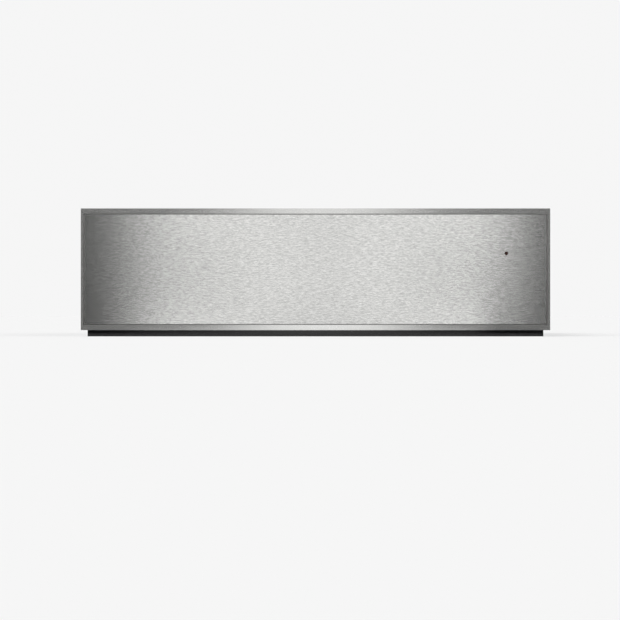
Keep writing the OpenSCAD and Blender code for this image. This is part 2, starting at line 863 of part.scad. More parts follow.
module front_core() {
    pocket_w = board_w + 2;
    pocket_h = board_h + 2;
    z = lamp_height - panel_mid_z;
    inner_fit = plate_t + 0.2;
    color("#6e6a60") at_panel() difference() {
        union() {
            panel_plate(front_w - 2 * skin, front_h - 2 * skin, lip_end, core_back);
            panel_plate(plate_w - 2 * inner_fit, plate_h - 2 * inner_fit, plate_back, lip_end);
        }
        block([lamp_x - pocket_w / 2, plate_back - 1, z - pocket_h / 2],
              [lamp_x + pocket_w / 2, plate_back + board_depth + board_t, z + pocket_h / 2]);
    }
}

module front_back_panel() {
    color("#b5b7b9") at_panel()
        panel_plate(front_w - 2 * skin, front_h - 2 * skin, core_back, panel_back);
}

module front_buffers() {
    color("#202020") at_niche() for (side = [-1, 1], z = [-1, 1])
        rod_y(buffer_r, side * fixing_x, fixing_mid_z + z * buffer_pitch / 2,
              panel_back, panel_back + buffer_t);
}

// A light pipe: a stem in the plate's hole, a collar behind it and a foot at the lamp.
module indicator_lens() {
    stem_r = lamp_r - lens_clear;
    color("#5a1f1a") at_niche() {
        rod_y(stem_r, lamp_x, lamp_height, plate_face, plate_back + board_depth - 2);
        rod_y(stem_r + 2, lamp_x, lamp_height, plate_back, plate_back + 1.2);
    }
}

// A small board in the core's pocket, with the lamp that lights the lens.
module indicator_board() {
    board_y = plate_back + board_depth;
    color("#2f6b3a") at_niche() {
        block([lamp_x - board_w / 2, board_y, lamp_height - board_h / 2],
              [lamp_x + board_w / 2, board_y + board_t, lamp_height + board_h / 2]);
        block([lamp_x - 2, board_y - 2, lamp_height - 2], [lamp_x + 2, board_y, lamp_height + 2]);
        block([lamp_x - 11, board_y - 4, lamp_height - 6], [lamp_x - 6, board_y, lamp_height + 6]);
    }
}

// Angles that join the front panel to the drawer's side plates.
module front_angles() {
    thick = 1.2;
    outer = plate_x - drawer_sheet;
    bottom = side_z + 8;
    top = tray_top - console_h - 4;
    color("#b5b7b9") at_niche() for (side = [-1, 1]) on_side(side) {
        block([outer - thick, panel_back, bottom], [outer, tray_y + 4, top]);
        block([outer - 30, panel_back, bottom], [outer, panel_back + thick, top]);
    }
}

// ---------- selector ----------

module selector_console() {
    bottom = tray_top - console_h;
    color("#232325") at_niche() difference() {
        union() {
            difference() {
                block([-console_x, panel_back, bottom], [console_x, console_back, tray_top]);
                block([-console_x + console_t, panel_back + console_t, bottom - 1],
                      [console_x - console_t, console_back - console_t, tray_top - console_t]);
            }
            rod_z(well_r + console_t, knob_x, knob_y, well_floor - console_t, tray_top);
        }
        rod_z(well_r, knob_x, knob_y, well_floor, tray_top + 1);
        rod_z(spindle_r + running, knob_x, knob_y, well_floor - console_t - 1, well_floor + 1);
    }
}

module selector_switch() {
    top = well_floor - console_t;
    color("#e4ddc8") at_niche() difference() {
        union() {
            block([knob_x - switch_w / 2, knob_y - switch_w / 2, top - switch_h],
                  [knob_x + switch_w / 2, knob_y + switch_w / 2, top]);
            for (i = [-1:1])
                block([knob_x + i * 8 - 2.4, knob_y - 0.4, top - switch_h - 6],
                      [knob_x + i * 8 + 2.4, knob_y + 0.4, top - switch_h]);
        }
        rod_z(spindle_r + running, knob_x, knob_y, top - switch_h + switch_floor, top + 1);
    }
}

module selector_spindle() {
    color("silver") at_niche() rod_z(spindle_r, knob_x, knob_y, spindle_bottom, spindle_top);
}

// The knob has a gripped edge and a raised pointer.
module selector_knob() {
    bottom = well_floor + fit;
    flute_r = 1.2;
    color("#2c2c2f") at_niche() difference() {
        union() {
            rod_z(knob_r, knob_x, knob_y, bottom, bottom + knob_h - 1);
            block([knob_x - 1.2, knob_y - knob_r + 1.5, bottom + knob_h - 1],
                  [knob_x + 1.2, knob_y + knob_r - 1.5, bottom + knob_h]);
        }
        for (i = [0:11])
            translate([knob_x, knob_y, 0]) rotate([0, 0, 15 + i * 30])
                rod_z(flute_r, knob_r + 0.4, 0, bottom + 1.5, bottom + knob_h + 1);
        rod_z(spindle_r + 0.05, knob_x, knob_y, bottom - 1, spindle_top);
    }
}

// ---------- drawer ----------

module drawer_tray() {
    wall = drawer_sheet;
    rim_back = tray_back + rim_behind;
    color("#c6c8ca") at_niche() difference() {
        union() {
            translate([0, tray_mid_y, floor_z]) linear_extrude(tray_top - floor_z)
                round_rect(inner_w + 2 * wall, inner_d + 2 * wall, corner_r + wall);
            block([-rim_x, tray_y, rim_z], [rim_x, rim_back, tray_top]);
        }
        translate([0, tray_mid_y, floor_z + wall]) linear_extrude(tray_top - floor_z)
            round_rect(inner_w, inner_d, corner_r);
        block([-air_opening_w / 2, tray_back - wall - 1, air_opening_z[0]],
              [air_opening_w / 2, tray_back + 1, air_opening_z[1]]);
    }
}

module glass_base() {
    w = inner_w - 2 * glass_gap;
    d = inner_d - 2 * glass_gap;
    color("#9fb0b0") at_niche() translate([0, tray_mid_y, glass_z]) linear_extrude(glass_t)
        round_rect(w, d, corner_r - glass_gap);
}

module glass_pads() {
    x_out = inner_w / 2 - pad_in;
    y_out = inner_d / 2 - pad_in;
    color("#303030") at_niche() for (x = [-1, 0, 1], y = [-1, 1])
        rod_z(pad_r, x * x_out, tray_mid_y + y * y_out, floor_z + drawer_sheet, glass_z);
}

module floor_insulation() {
    color("#d8d2b8") at_niche()
        block([-inner_w / 2 + insulation_gap, tray_y + insulation_gap, under_z + drawer_sheet],
              [inner_w / 2 - insulation_gap, tray_back - insulation_gap, floor_z]);
}

// The undertray has a slot at the back for the tip of the cable arm.
module drawer_undertray() {
    color("#b5b7b9") at_niche() difference() {
        block([-plate_x + drawer_sheet + under_gap, side_front + under_gap, under_z],
              [plate_x - drawer_sheet - under_gap, under_back, under_z + drawer_sheet]);
        translate([arm_x, slot_mid, under_z - 1]) linear_extrude(drawer_sheet + 2)
            rotate(90) slot_2d(slot_len + 2 * fit, tip_r + fit);
    }
}

// A side plate with its foot under the undertray, its head under the tray's rim, and the striker.
module side_plate(side) {
    inner = plate_x - drawer_sheet;
    striker_y = plunger_tip - fit;
    color("#b5b7b9") at_niche() on_side(side) difference() {
        union() {
            block([inner, side_front, side_z], [plate_x, side_back, rim_z]);
            block([inner - side_foot, side_front, side_z], [inner, side_back, under_z]);
            block([inner - side_head, tray_y, rim_z - drawer_sheet], [inner, side_back, rim_z]);
            block([plate_x, striker_y - striker_t, latch_z - striker_w / 2],
                  [plate_x + striker_w, striker_y, latch_z + striker_w / 2]);
        }
        for (y = slide_screw_y) rod_x(screw_r + screw_clear, y, slide_z, inner - 1, plate_x + 1);
    }
}

module left_side_plate() { side_plate(-1); }
module right_side_plate() { side_plate(1); }

// ---------- warm air unit ----------

// The grille: an inlet of round holes before the fan, and outlet slots to both sides.
module air_grille() {
    slot_h = 44;
    color("#c6c8ca") at_niche() difference() {
        block([-air_opening_w / 2 - 8, tray_back, chamber_z[0]],
              [air_opening_w / 2 + 8, grille_back, chamber_z[1] - 2]);
        along_y(tray_back - 1, grille_back + 1) translate([0, air_z]) {
            circle(2.2);
            for (ring = [1:3], i = [0:6 * ring - 1])
                rotate(i * 60 / ring) translate([ring * 8, 0]) circle(2.2);
            for (side = [-1, 1], i = [0:8])
                translate([side * (72 + i * 12.5), 0]) rotate(90) slot_2d(slot_h, 2.5);
        }
    }
}

module at_ring_end(side) {
    translate([-ring_r * cos(ring_gap / 2), 0, air_z + side * ring_r * sin(ring_gap / 2)]) children();
}

// The pan behind the grille that the fan and the heating ring work in.
module air_chamber() {
    wall = drawer_sheet;
    color("#b5b7b9") at_niche() difference() {
        block([-chamber_w / 2, grille_back, chamber_z[0]], [chamber_w / 2, chamber_back, chamber_z[1]]);
        block([-chamber_w / 2 + wall, grille_back - 1, chamber_z[0] + wall],
              [chamber_w / 2 - wall, chamber_back - wall, chamber_z[1] - wall]);
        rod_y(shaft_r + 4, 0, air_z, chamber_back - wall - 1, chamber_back + 1);
        for (side = [-1, 1])
            at_ring_end(side) rod_y(sleeve_r + screw_clear, 0, 0, chamber_back - wall - 1, chamber_back + 1);
    }
}

// The heating ring, whose two ends go back through the chamber in ceramic sleeves.
module heating_element() {
    color("#4a4540") at_niche() {
        translate([0, ring_y, air_z]) rotate([-90, 0, 0]) rotate([0, 0, 180 + ring_gap / 2])
            rotate_extrude(angle = 360 - ring_gap) translate([ring_r, 0]) circle(rod_r);
        for (side = [-1, 1]) at_ring_end(side) {
            rod_y(sleeve_r, 0, 0, ring_y - sleeve_r, chamber_back + sleeve_out);
            block([-0.4, chamber_back + sleeve_out, -3], [0.4, chamber_back + sleeve_out + 7, 3]);
        }
    }
}

// The fan wheel: a back disc with a hub, curved blades, and a ring that joins their front ends.
module fan_wheel() {
    front = fan_back - fan_depth;
    blade_in = fan_r - 12;
    bend_r = 14;
    color("#8b8e91") at_niche() translate([0, 0, air_z]) difference() {
        union() {
            rod_y(fan_r, 0, 0, fan_back - 1.2, fan_back);
            rod_y(shaft_r + 4, 0, 0, fan_back - 12, fan_back);
            along_y(front, fan_back - 1.2 + eps) intersection() {
                difference() {
                    circle(fan_r - 0.4);
                    circle(blade_in);
                }
                for (i = [0:blade_count - 1]) rotate(i * 360 / blade_count)
                    translate([fan_r - 6, -bend_r]) difference() {
                        circle(bend_r);
                        circle(bend_r - 0.9);
                        translate([-2 * bend_r, -2 * bend_r]) square([4 * bend_r, 2 * bend_r]);
                    }
            }
            along_y(front, front + 1.2) difference() {
                circle(fan_r);
                circle(fan_r - 3);
            }
        }
        rod_y(shaft_r, 0, 0, fan_back - 13, fan_back + 1);
    }
}

module motor_core() {
    color("#77706a") at_niche() along_y(core_front, core_end) difference() {
        translate([-core_x, core_z[0]]) square([2 * core_x, core_z[1] - core_z[0]]);
        translate([-window_x, core_z[0] + leg_h])
            square([2 * window_x, window_top - core_z[0] - leg_h]);
        translate([0, air_z]) circle(rotor_r + rotor_gap);
    }
}

module motor_coil() {
    half = window_x - fit;
    color("#7a3b1e") at_niche() difference() {
        block([-half, core_front - coil_wrap, core_z[0] - coil_rise],
              [half, core_end + coil_wrap, core_z[0] + leg_h + coil_rise]);
        block([-half - 1, core_front, core_z[0]], [half + 1, core_end, core_z[0] + leg_h]);
    }
}

// Two bars that hold the rotor's bearings, the front one with feet on the chamber.
module motor_brackets() {
    bar_z = [air_z - bar_h / 2, air_z + bar_h / 2];
    color("#9da0a2") at_niche() difference() {
        union() {
            block([-core_x, core_front - bracket_t, bar_z[0]], [core_x, core_front, bar_z[1]]);
            block([-core_x, core_end, bar_z[0]], [core_x, core_end + bracket_t, bar_z[1]]);
            for (side = [-1, 1]) on_side(side)
                block([core_x - bracket_foot, chamber_back, bar_z[0]], [core_x, core_front, bar_z[1]]);
            rod_y(boss_r, 0, air_z, core_front - bracket_t - boss_out, core_front);
            rod_y(boss_r, 0, air_z, core_end, core_end + bracket_t + boss_out);
        }
        rod_y(shaft_r + running, 0, air_z, chamber_back, core_end + 10);
    }
}

module motor_rotor() {
    color("#55565a") at_niche() {
        rod_y(shaft_r, 0, air_z, fan_back - 11, core_end + bracket_t + 1);
        rod_y(rotor_r, 0, air_z, core_front + 0.4, core_end - 0.4);
    }
}

// A thermostat and a thermal fuse in a like case, on the back of the chamber.
module thermostats() {
    base_back = chamber_back + thermostat_base;
    cap_back = base_back + thermostat_cap;
    color("#d9d4c4") at_niche() for (x = thermostat_x) {
        rod_y(thermostat_r, x, thermostat_z, chamber_back, base_back);
        rod_y(thermostat_r - 2, x, thermostat_z, base_back, cap_back);
        for (side = [-1, 1])
            block([x + side * 3 - 0.4, cap_back, thermostat_z - 3],
                  [x + side * 3 + 0.4, cap_back + thermostat_tab, thermostat_z + 3]);
    }
}

// The wiring from the arm's tip to the thermostats and on to the motor.
module drawer_cable() {
    back = chamber_back + cable_r + fit;
    start_z = tip_head_z + pivot_head + 0.4;
    turn_z = 28;
    motor_x = -52;
    coil_z = core_z[0] + 5;
    bend = 5;
    color("#8d3b2a") at_niche() {
        cable_run([
            [arm_x, tip_y, start_z], [arm_x, tip_y, turn_z], [arm_x, back, turn_z],
            [arm_x, back, thermostat_z], [thermostat_x[0] - thermostat_r, back, thermostat_z]
        ], cable_r, bend);
        cable_run([
            [thermostat_x[1] + thermostat_r, back, thermostat_z], [motor_x, back, thermostat_z],
            [motor_x, back, coil_z], [-window_x, back, coil_z]
        ], cable_r, bend);
    }
}

base_tray();
left_side_wall();
right_side_wall();
top_cover();
rear_wall();
front_sill();
cable_gland();
terminal_block();
supply_cable();
arm_base_pivot();
left_latch_body();
right_latch_body();
left_slide_cabinet_rail();
right_slide_cabinet_rail();
housing_screws();
cabinet_rail_screws();
left_slide_middle_rail();
right_slide_middle_rail();
left_outer_ball_cage();
right_outer_ball_cage();
left_inner_ball_cage();
right_inner_ball_cage();
left_latch_plunger();
right_latch_plunger();
rear_cable_arm();
rear_arm_cable();
front_cable_arm();
front_arm_cable();
front_surround();
face_plate();
front_core();
front_back_panel();
front_buffers();
indicator_lens();
indicator_board();
front_angles();
selector_console();
selector_switch();
drawer_tray();
glass_base();
glass_pads();
floor_insulation();
drawer_undertray();
left_side_plate();
right_side_plate();
left_slide_drawer_rail();
right_slide_drawer_rail();
drawer_rail_screws();
air_grille();
air_chamber();
heating_element();
motor_core();
motor_coil();
motor_brackets();
thermostats();
drawer_cable();
selector_knob();
selector_spindle();
fan_wheel();
motor_rotor();
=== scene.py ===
# %% [markdown]
# # A built-in warming drawer, dressed
# The drawer's solids come in as a fixed frame. This notebook gives each of them its finish, adds the small
# pieces that sheet metal and switches have, and sets up a studio with a long lens in front.
# Lengths are metres. X runs across the front, Y from the front to the back, and Z is up.

# %% Load the frame
import math
import bmesh
import bpy
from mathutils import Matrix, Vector


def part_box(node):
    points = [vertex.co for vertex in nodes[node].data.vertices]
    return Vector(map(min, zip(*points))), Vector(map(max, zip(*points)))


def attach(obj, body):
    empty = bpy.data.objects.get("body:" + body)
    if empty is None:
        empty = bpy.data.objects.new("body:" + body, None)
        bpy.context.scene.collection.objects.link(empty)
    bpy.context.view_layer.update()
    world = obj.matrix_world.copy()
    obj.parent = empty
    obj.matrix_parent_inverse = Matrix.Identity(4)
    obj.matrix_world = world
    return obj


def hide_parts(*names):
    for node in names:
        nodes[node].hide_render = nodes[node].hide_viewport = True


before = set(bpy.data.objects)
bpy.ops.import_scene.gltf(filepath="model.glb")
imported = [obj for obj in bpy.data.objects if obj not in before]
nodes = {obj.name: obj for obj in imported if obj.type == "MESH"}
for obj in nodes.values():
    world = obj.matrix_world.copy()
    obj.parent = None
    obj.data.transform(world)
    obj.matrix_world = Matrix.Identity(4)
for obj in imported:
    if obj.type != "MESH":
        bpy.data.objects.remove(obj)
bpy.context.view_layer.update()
MM = 0.001


def put_in_scene(name, data):
    """A new object in the scene, for a mesh, a lamp or a camera."""
    made = bpy.data.objects.new(name, data)
    bpy.context.scene.collection.objects.link(made)
    return made

# %% [markdown]
# ## The camera
# The front is seen dead on from far away, so its edges stay parallel. A long lens from over four metres does
# the same. The distance follows from the width that the picture shows at the front's own plane.

# %% Camera
PICTURE_WIDTH = 0.7793                    # what the picture shows at the plane of the front
PICTURE_X, PICTURE_Z = -0.0069, 0.0333    # the picture's middle, across and up
LENS, SENSOR = 200.0, 36.0
front_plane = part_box("front_surround")[0].y
camera_distance = PICTURE_WIDTH * LENS / SENSOR
eye = Vector((PICTURE_X, front_plane - camera_distance, PICTURE_Z))

camera_data = bpy.data.cameras.new("long_lens")
camera_data.lens = LENS
camera_data.sensor_width = SENSOR
camera_data.clip_end = 100
camera = put_in_scene("camera", camera_data)
camera.location = eye
camera.rotation_euler = (math.radians(90), 0, 0)
bpy.context.scene.camera = camera
bpy.context.scene.view_settings.view_transform = "Standard"
print("camera:", round(camera_distance, 3), "m before the front")

# %% [markdown]
# ## Helpers for materials
# Colours are picked as sRGB hex values, which is how a swatch is written down, but shaders work in linear
# light, so one function turns one into the other. Another adds a shader node with its settings and links in
# a single call, which keeps each material short enough to read as a recipe. Nearly all materials end alike:
# a pattern moves the colour and the roughness between two values each, and raises or lowers the surface.

# %% Helpers for materials
def linear(hex_colour):
    """A hex colour such as "B8B7B4" as linear red, green, blue and alpha."""
    parts = [int(hex_colour[i:i + 2], 16) / 255 for i in (0, 2, 4)]
    return [p / 12.92 if p <= 0.04045 else ((p + 0.055) / 1.055) ** 2.4 for p in parts] + [1.0]


def feed(tree, node, inputs):
    """Sets a node's inputs. Another node's output is linked, a node stands for its first output in use, and
    a list holds several to link. Anything else is a plain value, and a hex colour turns linear."""
    for key, value in inputs.items():
        socket = node.inputs[key]
        for item in value if isinstance(value, list) else [value]:
            if isinstance(item, bpy.types.Node):
                item = next(output for output in item.outputs if output.enabled)
            if isinstance(item, bpy.types.NodeSocket):
                tree.links.new(item, socket)
            else:
                is_colour = socket.type == "RGBA" and isinstance(item, str)
                socket.default_value = linear(item) if is_colour else item
    return node


def add(tree, kind, inputs=None, **settings):
    """Adds a node with its settings and inputs."""
    node = tree.nodes.new(kind)
    for name, value in settings.items():
        setattr(node, name, value)
    return feed(tree, node, inputs or {})


def start_material(name):
    """A new material and its tree, which holds the shader."""
    material = bpy.data.materials.new(name)
    material.use_nodes = True
    return material, material.node_tree


def finish_material(material, colour, roughness, relief=None, **shader_inputs):
    """Ends a material. The colour is a factor and the two colours that it goes between, and the roughness is
    the same with two numbers. The relief is a height, the millimetres that it stands for and its strength."""
    tree = material.node_tree
    inputs = {key.replace("_", " "): value for key, value in shader_inputs.items()}
    inputs["Base Color"] = add(tree, "ShaderNodeMix", dict(zip(("Factor", 6, 7), colour)), data_type="RGBA")
    inputs["Roughness"] = add(tree, "ShaderNodeMapRange", dict(zip(("Value", "To Min", "To Max"), roughness)))
    if relief:
        height, depth, strength = relief
        inputs["Normal"] = add(tree, "ShaderNodeBump", {
            "Height": height, "Distance": depth * MM, "Strength": strength})
    feed(tree, tree.nodes["Principled BSDF"], inputs)
    return material


def real_size(tree, *size):
    """Inputs that give any texture its real size, in millimetres along each axis or along all."""
    where = add(tree, "ShaderNodeTexCoord").outputs["Object"]
    scale = tuple(1 / (s * MM) for s in (size * 3)[:3])
    return {"Vector": add(tree, "ShaderNodeMapping", {"Vector": where, "Scale": scale}), "Scale": 1.0}


def place_in_object(tree):
    """The X, Y and Z of a point, in metres."""
    where = add(tree, "ShaderNodeTexCoord").outputs["Object"]
    return add(tree, "ShaderNodeSeparateXYZ", {"Vector": where}).outputs


def dress(material, *names):
    """Puts a material on the slots of the named solids."""
    for name in names:
        for slot in nodes[name].material_slots:
            slot.material = material
    print(material.name, "on", len(names), "solids")

# %% [markdown]
# ## Brushed stainless steel for the face plate
# The plate is ground with a belt that runs along its width, so it is covered with shallow scratches, all
# horizontal. Along the scratches it reflects nearly like a mirror, and across them it scatters, which smears
# every light into an upright band. That is what anisotropy does: the tangent runs across the grain, here the
# direction that circles round the X axis. Real scratches are some 0.1 mm wide, too fine for the picture, so
# the streaks are drawn about 1.2 mm high and 8 mm long, with a finer and a shorter set over them.

# %% Brushed stainless steel
def brushed_steel(name, grain, edge, colours, roughness, anisotropy, circle_axis, depth):
    """Steel with a grain. The grain's three sizes are in millimetres along X, Y and Z, and a smaller edge
    makes its streaks harder."""
    material, tree = start_material(name)
    long_streaks = add(tree, "ShaderNodeTexNoise", {
        **real_size(tree, *grain), "Detail": 3.0, "Roughness": 0.65})
    short = [0.45 * size for size in grain]
    short_streaks = add(tree, "ShaderNodeTexNoise", {**real_size(tree, *short), "Detail": 2.0})
    streaks = add(tree, "ShaderNodeMath", {0: long_streaks, 1: short_streaks}, operation="ADD")
    sharp = add(tree, "ShaderNodeMapRange", {"Value": streaks, "From Min": 1 - edge, "From Max": 1 + edge})
    tangent = add(tree, "ShaderNodeTangent", direction_type="RADIAL", axis=circle_axis)
    return finish_material(material, (sharp, *colours), (sharp, *roughness), (sharp, depth, 1.0),
                           Metallic=1.0, Anisotropic=anisotropy, Tangent=tangent)


dress(brushed_steel("stainless_steel_belt_brushed", (8, 40, 1.15), 0.16, ("C0C0BE", "E2E2E0"),
                    (0.19, 0.18), 1.0, "X", 0.0003), "face_plate")

# %% [markdown]
# ## Satin stainless steel for the surround
# The folded surround has a finer finish than the plate: rolled satin sheet without a visible grain, which
# shows the lights as one soft patch. A faint cloud from the rolls keeps it from looking like paint. Inside
# the shadow joint the ledge is rougher, and its darker grey is painted shade. A box round the face plate, as
# wide as the joint, tells the material where that is.

# %% Satin stainless steel
def inside_box(tree, low, high):
    """One inside the box between two corners and zero outside it."""
    where = add(tree, "ShaderNodeTexCoord").outputs["Object"]
    offset = add(tree, "ShaderNodeVectorMath", {0: where, 1: (low + high) / 2}, operation="SUBTRACT")
    distance = add(tree, "ShaderNodeVectorMath", {0: offset}, operation="ABSOLUTE")
    axes = add(tree, "ShaderNodeSeparateXYZ", {"Vector": distance})
    inside = [add(tree, "ShaderNodeMath", {0: axes.outputs[i], 1: (high - low)[i] / 2}, operation="LESS_THAN")
              for i in range(3)]
    both = add(tree, "ShaderNodeMath", {0: inside[0], 1: inside[1]}, operation="MULTIPLY")
    return add(tree, "ShaderNodeMath", {0: both, 1: inside[2]}, operation="MULTIPLY")


def satin_steel(name, cloud, colours, roughness, depth, shaded_joint_box, painted_joint_shade_colours, dull_roughness):
    """Steel with a fine even satin, and inside a box a rougher skin whose darker grey is painted shade. The
    cloud is the size of the rolling marks in millimetres."""
    material, tree = start_material(name)
    clouds = add(tree, "ShaderNodeTexNoise", {**real_size(tree, *cloud), "Detail": 4.0, "Roughness": 0.6})
    # Real grit is too fine for the picture, so it is drawn 0.8 mm wide.
    grit = add(tree, "ShaderNodeTexNoise", real_size(tree, 0.8))
    # The box marks the shadow joint. There the colour turns to a darker grey, which is painted shade, and the
    # roughness rises.
    dull = inside_box(tree, *shaded_joint_box)
    polished, skin = [add(tree, "ShaderNodeMix", {"Factor": pattern, 6: low, 7: high}, data_type="RGBA")
                      for pattern, (low, high) in ((clouds, colours), (grit, painted_joint_shade_colours))]
    shine = add(tree, "ShaderNodeMapRange", {"Value": clouds, "To Min": roughness[0], "To Max": roughness[1]})
    return finish_material(material, (dull, polished, skin), (dull, shine, dull_roughness),
                           (grit, depth, 0.6), Metallic=0.88)


JOINT = Vector((2.05, 0, 1.25)) * MM      # the shadow joint's width at the sides, and above and below
plate_low, plate_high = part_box("face_plate")
# The darker grey inside the joint's box is painted shade.
dress(satin_steel("stainless_steel_satin_rolled", (30, 30, 4), ("D8D8D6", "E6E6E4"), (0.1, 0.13), 0.0005,
                  (plate_low - JOINT, plate_high + JOINT), ("8E8E8C", "A0A09E"), 0.32), "front_surround")

# %% [markdown]
# ## Hot-dip galvanised sheet for the housing
# The housing is bent from galvanised sheet. The zinc froze on it in flat crystals, the spangle, and each
# crystal grew in fine feathers along a direction of its own. A Voronoi pattern gives each cell a random
# colour. One part of that colour sets the cell's grey and another its roughness, and the whole of it serves
# as the direction in which fine lines run across the cell. A dull bloom lies over everything.

# %% Galvanised sheet
def galvanised(name, spangle, colours, roughness):
    """Zinc-coated sheet. The spangle is the width of its crystals in millimetres."""
    material, tree = start_material(name)
    place = real_size(tree, spangle)["Vector"]
    warp = add(tree, "ShaderNodeTexNoise", {"Vector": place, "Scale": 2.5, "Detail": 2.0})
    bent = add(tree, "ShaderNodeMix", {"Factor": 0.12, 4: place, 5: warp.outputs["Color"]},
               data_type="VECTOR")
    crystals = add(tree, "ShaderNodeTexVoronoi", {"Vector": bent, "Scale": 1.0}).outputs["Color"]
    parts = add(tree, "ShaderNodeSeparateColor", {"Color": crystals}).outputs
    centred = add(tree, "ShaderNodeVectorMath", {0: crystals, 1: (0.5, 0.5, 0.5)}, operation="SUBTRACT")
    across = add(tree, "ShaderNodeVectorMath", {0: place, 1: centred}, operation="DOT_PRODUCT")
    feathers = add(tree, "ShaderNodeMath", {0: across, 1: 40.0}, operation="MULTIPLY")
    feathers = add(tree, "ShaderNodeMath", {0: feathers}, operation="SINE")
    feathered = add(tree, "ShaderNodeMath", {0: feathers, 1: 0.12, 2: parts["Red"]}, operation="MULTIPLY_ADD")
    bloom = add(tree, "ShaderNodeTexNoise", {**real_size(tree, 60), "Detail": 6.0, "Roughness": 0.7})
    mixed = add(tree, "ShaderNodeMath", {0: feathered, 1: bloom}, operation="ADD")
    shown = add(tree, "ShaderNodeMapRange", {"Value": mixed, "From Min": 0.2, "From Max": 1.5})
    return finish_material(material, (shown, *colours), (parts["Blue"], *roughness), (feathered, 0.02, 0.3),
                           Metallic=1.0)


dress(galvanised("steel_sheet_hot_dip_galvanised", 5.5, ("A7AAAC", "C7CACC"), (0.36, 0.48)),
      "base_tray", "left_side_wall", "right_side_wall", "top_cover", "rear_wall")
dress(galvanised("steel_sheet_fine_spangle", 2.5, ("A8ABAD", "C6C9CB"), (0.34, 0.44)), "front_back_panel",
      "front_angles", "drawer_undertray", "left_side_plate", "right_side_plate", "air_chamber")

# %% [markdown]
# ## Painted, plated and cast metals
# The other metals differ in what lies on them. The sill is powder coated, and powder flows out into a soft
# orange peel. The slides and the cable arm are rolled steel with bright zinc, which keeps the lines of the
# rolls. The fan and the bearing brackets are cast, so their skin is slightly grainy.

# %% Powder coat
def powder_coat(name, colours, roughness, peel):
    """Coated sheet. The peel is the width of the coat's ripples in millimetres."""
    material, tree = start_material(name)
    ripples = add(tree, "ShaderNodeTexNoise", {**real_size(tree, peel), "Detail": 1.0})
    return finish_material(material, (ripples, *colours), (ripples, *roughness), (ripples, 0.03, 0.6),
                           IOR=1.55)


dress(powder_coat("steel_sheet_powder_coated_black", ("08080A", "101012"), (0.06, 0.14), 1.2), "front_sill")

# %% Bright zinc on rolled steel
def plated_steel(name, lines, colours, roughness):
    """Rolled and plated steel. The lines are the sizes of the rolling marks in millimetres."""
    material, tree = start_material(name)
    marks = add(tree, "ShaderNodeTexNoise", {**real_size(tree, *lines), "Detail": 4.0, "Roughness": 0.6})
    haze = add(tree, "ShaderNodeTexNoise", {**real_size(tree, 25), "Detail": 3.0})
    both = add(tree, "ShaderNodeMath", {0: marks, 1: haze}, operation="MULTIPLY")
    shown = add(tree, "ShaderNodeMapRange", {"Value": both, "From Min": 0.12, "From Max": 0.42})
    return finish_material(material, (shown, *colours), (haze, *roughness), (marks, 0.006, 0.7),
                           Metallic=1.0, Anisotropic=0.4)


dress(plated_steel("steel_roll_formed_bright_zinc", (1.0, 60, 1.0), ("A9ACB2", "DADDE2"), (0.24, 0.36)),
      "left_slide_cabinet_rail", "right_slide_cabinet_rail", "left_slide_middle_rail",
      "right_slide_middle_rail", "left_slide_drawer_rail", "right_slide_drawer_rail")
dress(plated_steel("steel_strip_bright_zinc", (50, 1.2, 1.2), ("A6A9AD", "D8DADD"), (0.28, 0.4)),
      "rear_cable_arm", "front_cable_arm", "arm_base_pivot")
screw_steel = plated_steel("steel_turned_nickel_plated", (0.6, 0.6, 0.6), ("B4B1AA", "DEDBD4"), (0.22, 0.32))
dress(screw_steel, "housing_screws", "cabinet_rail_screws", "drawer_rail_screws", "selector_spindle")

# %% Cast alloy
def cast_alloy(name, colours, roughness, grain):
    """Pressure-cast alloy with a grainy skin, the grain in millimetres."""
    material, tree = start_material(name)
    skin = add(tree, "ShaderNodeTexNoise", {**real_size(tree, grain), "Detail": 3.0})
    flow = add(tree, "ShaderNodeTexNoise", {**real_size(tree, 12), "Detail": 2.0, "Distortion": 1.5})
    return finish_material(material, (flow, *colours), (flow, *roughness), (skin, 0.04, 0.6), Metallic=1.0)


dress(cast_alloy("aluminium_pressure_cast", ("8C8E90", "B9BBBD"), (0.42, 0.55), 0.7),
      "motor_brackets", "fan_wheel")

# %% [markdown]
# ## Tray and grille: stainless steel with a short grain
# The tray holds the crockery. It is drawn from stainless sheet and finished with a nylon wheel, which leaves
# a short soft grain along the drawer's travel. The grille behind it is cut from the same sheet.

# %% Tray steel
dress(brushed_steel("stainless_steel_satin_ground", (1.4, 12, 1.4), 0.28, ("B2B2B0", "D2D2D0"),
                    (0.34, 0.26), 0.5, "Z", 0.004), "drawer_tray")
dress(brushed_steel("stainless_steel_satin_grille", (10, 4, 1.1), 0.28, ("AAAAA8", "CECECC"),
                    (0.34, 0.28), 0.5, "X", 0.003), "air_grille")

# %% [markdown]
# ## Ball cages: brass strip with steel balls
# Each cage is one solid with its balls, so one material has to know which is which. The balls stand every
# 20 mm in two straight rows, so the distance to the nearest ball's middle tells them apart.

# %% Cage material
BALL_PITCH, BALL_RADIUS = 20.0 * MM, 1.9 * MM
FIRST_BALL = 7.0 * MM          # from the strip's front end
BALL_EDGE = 1.95 * MM          # just outside a ball, so that the whole ball counts as steel


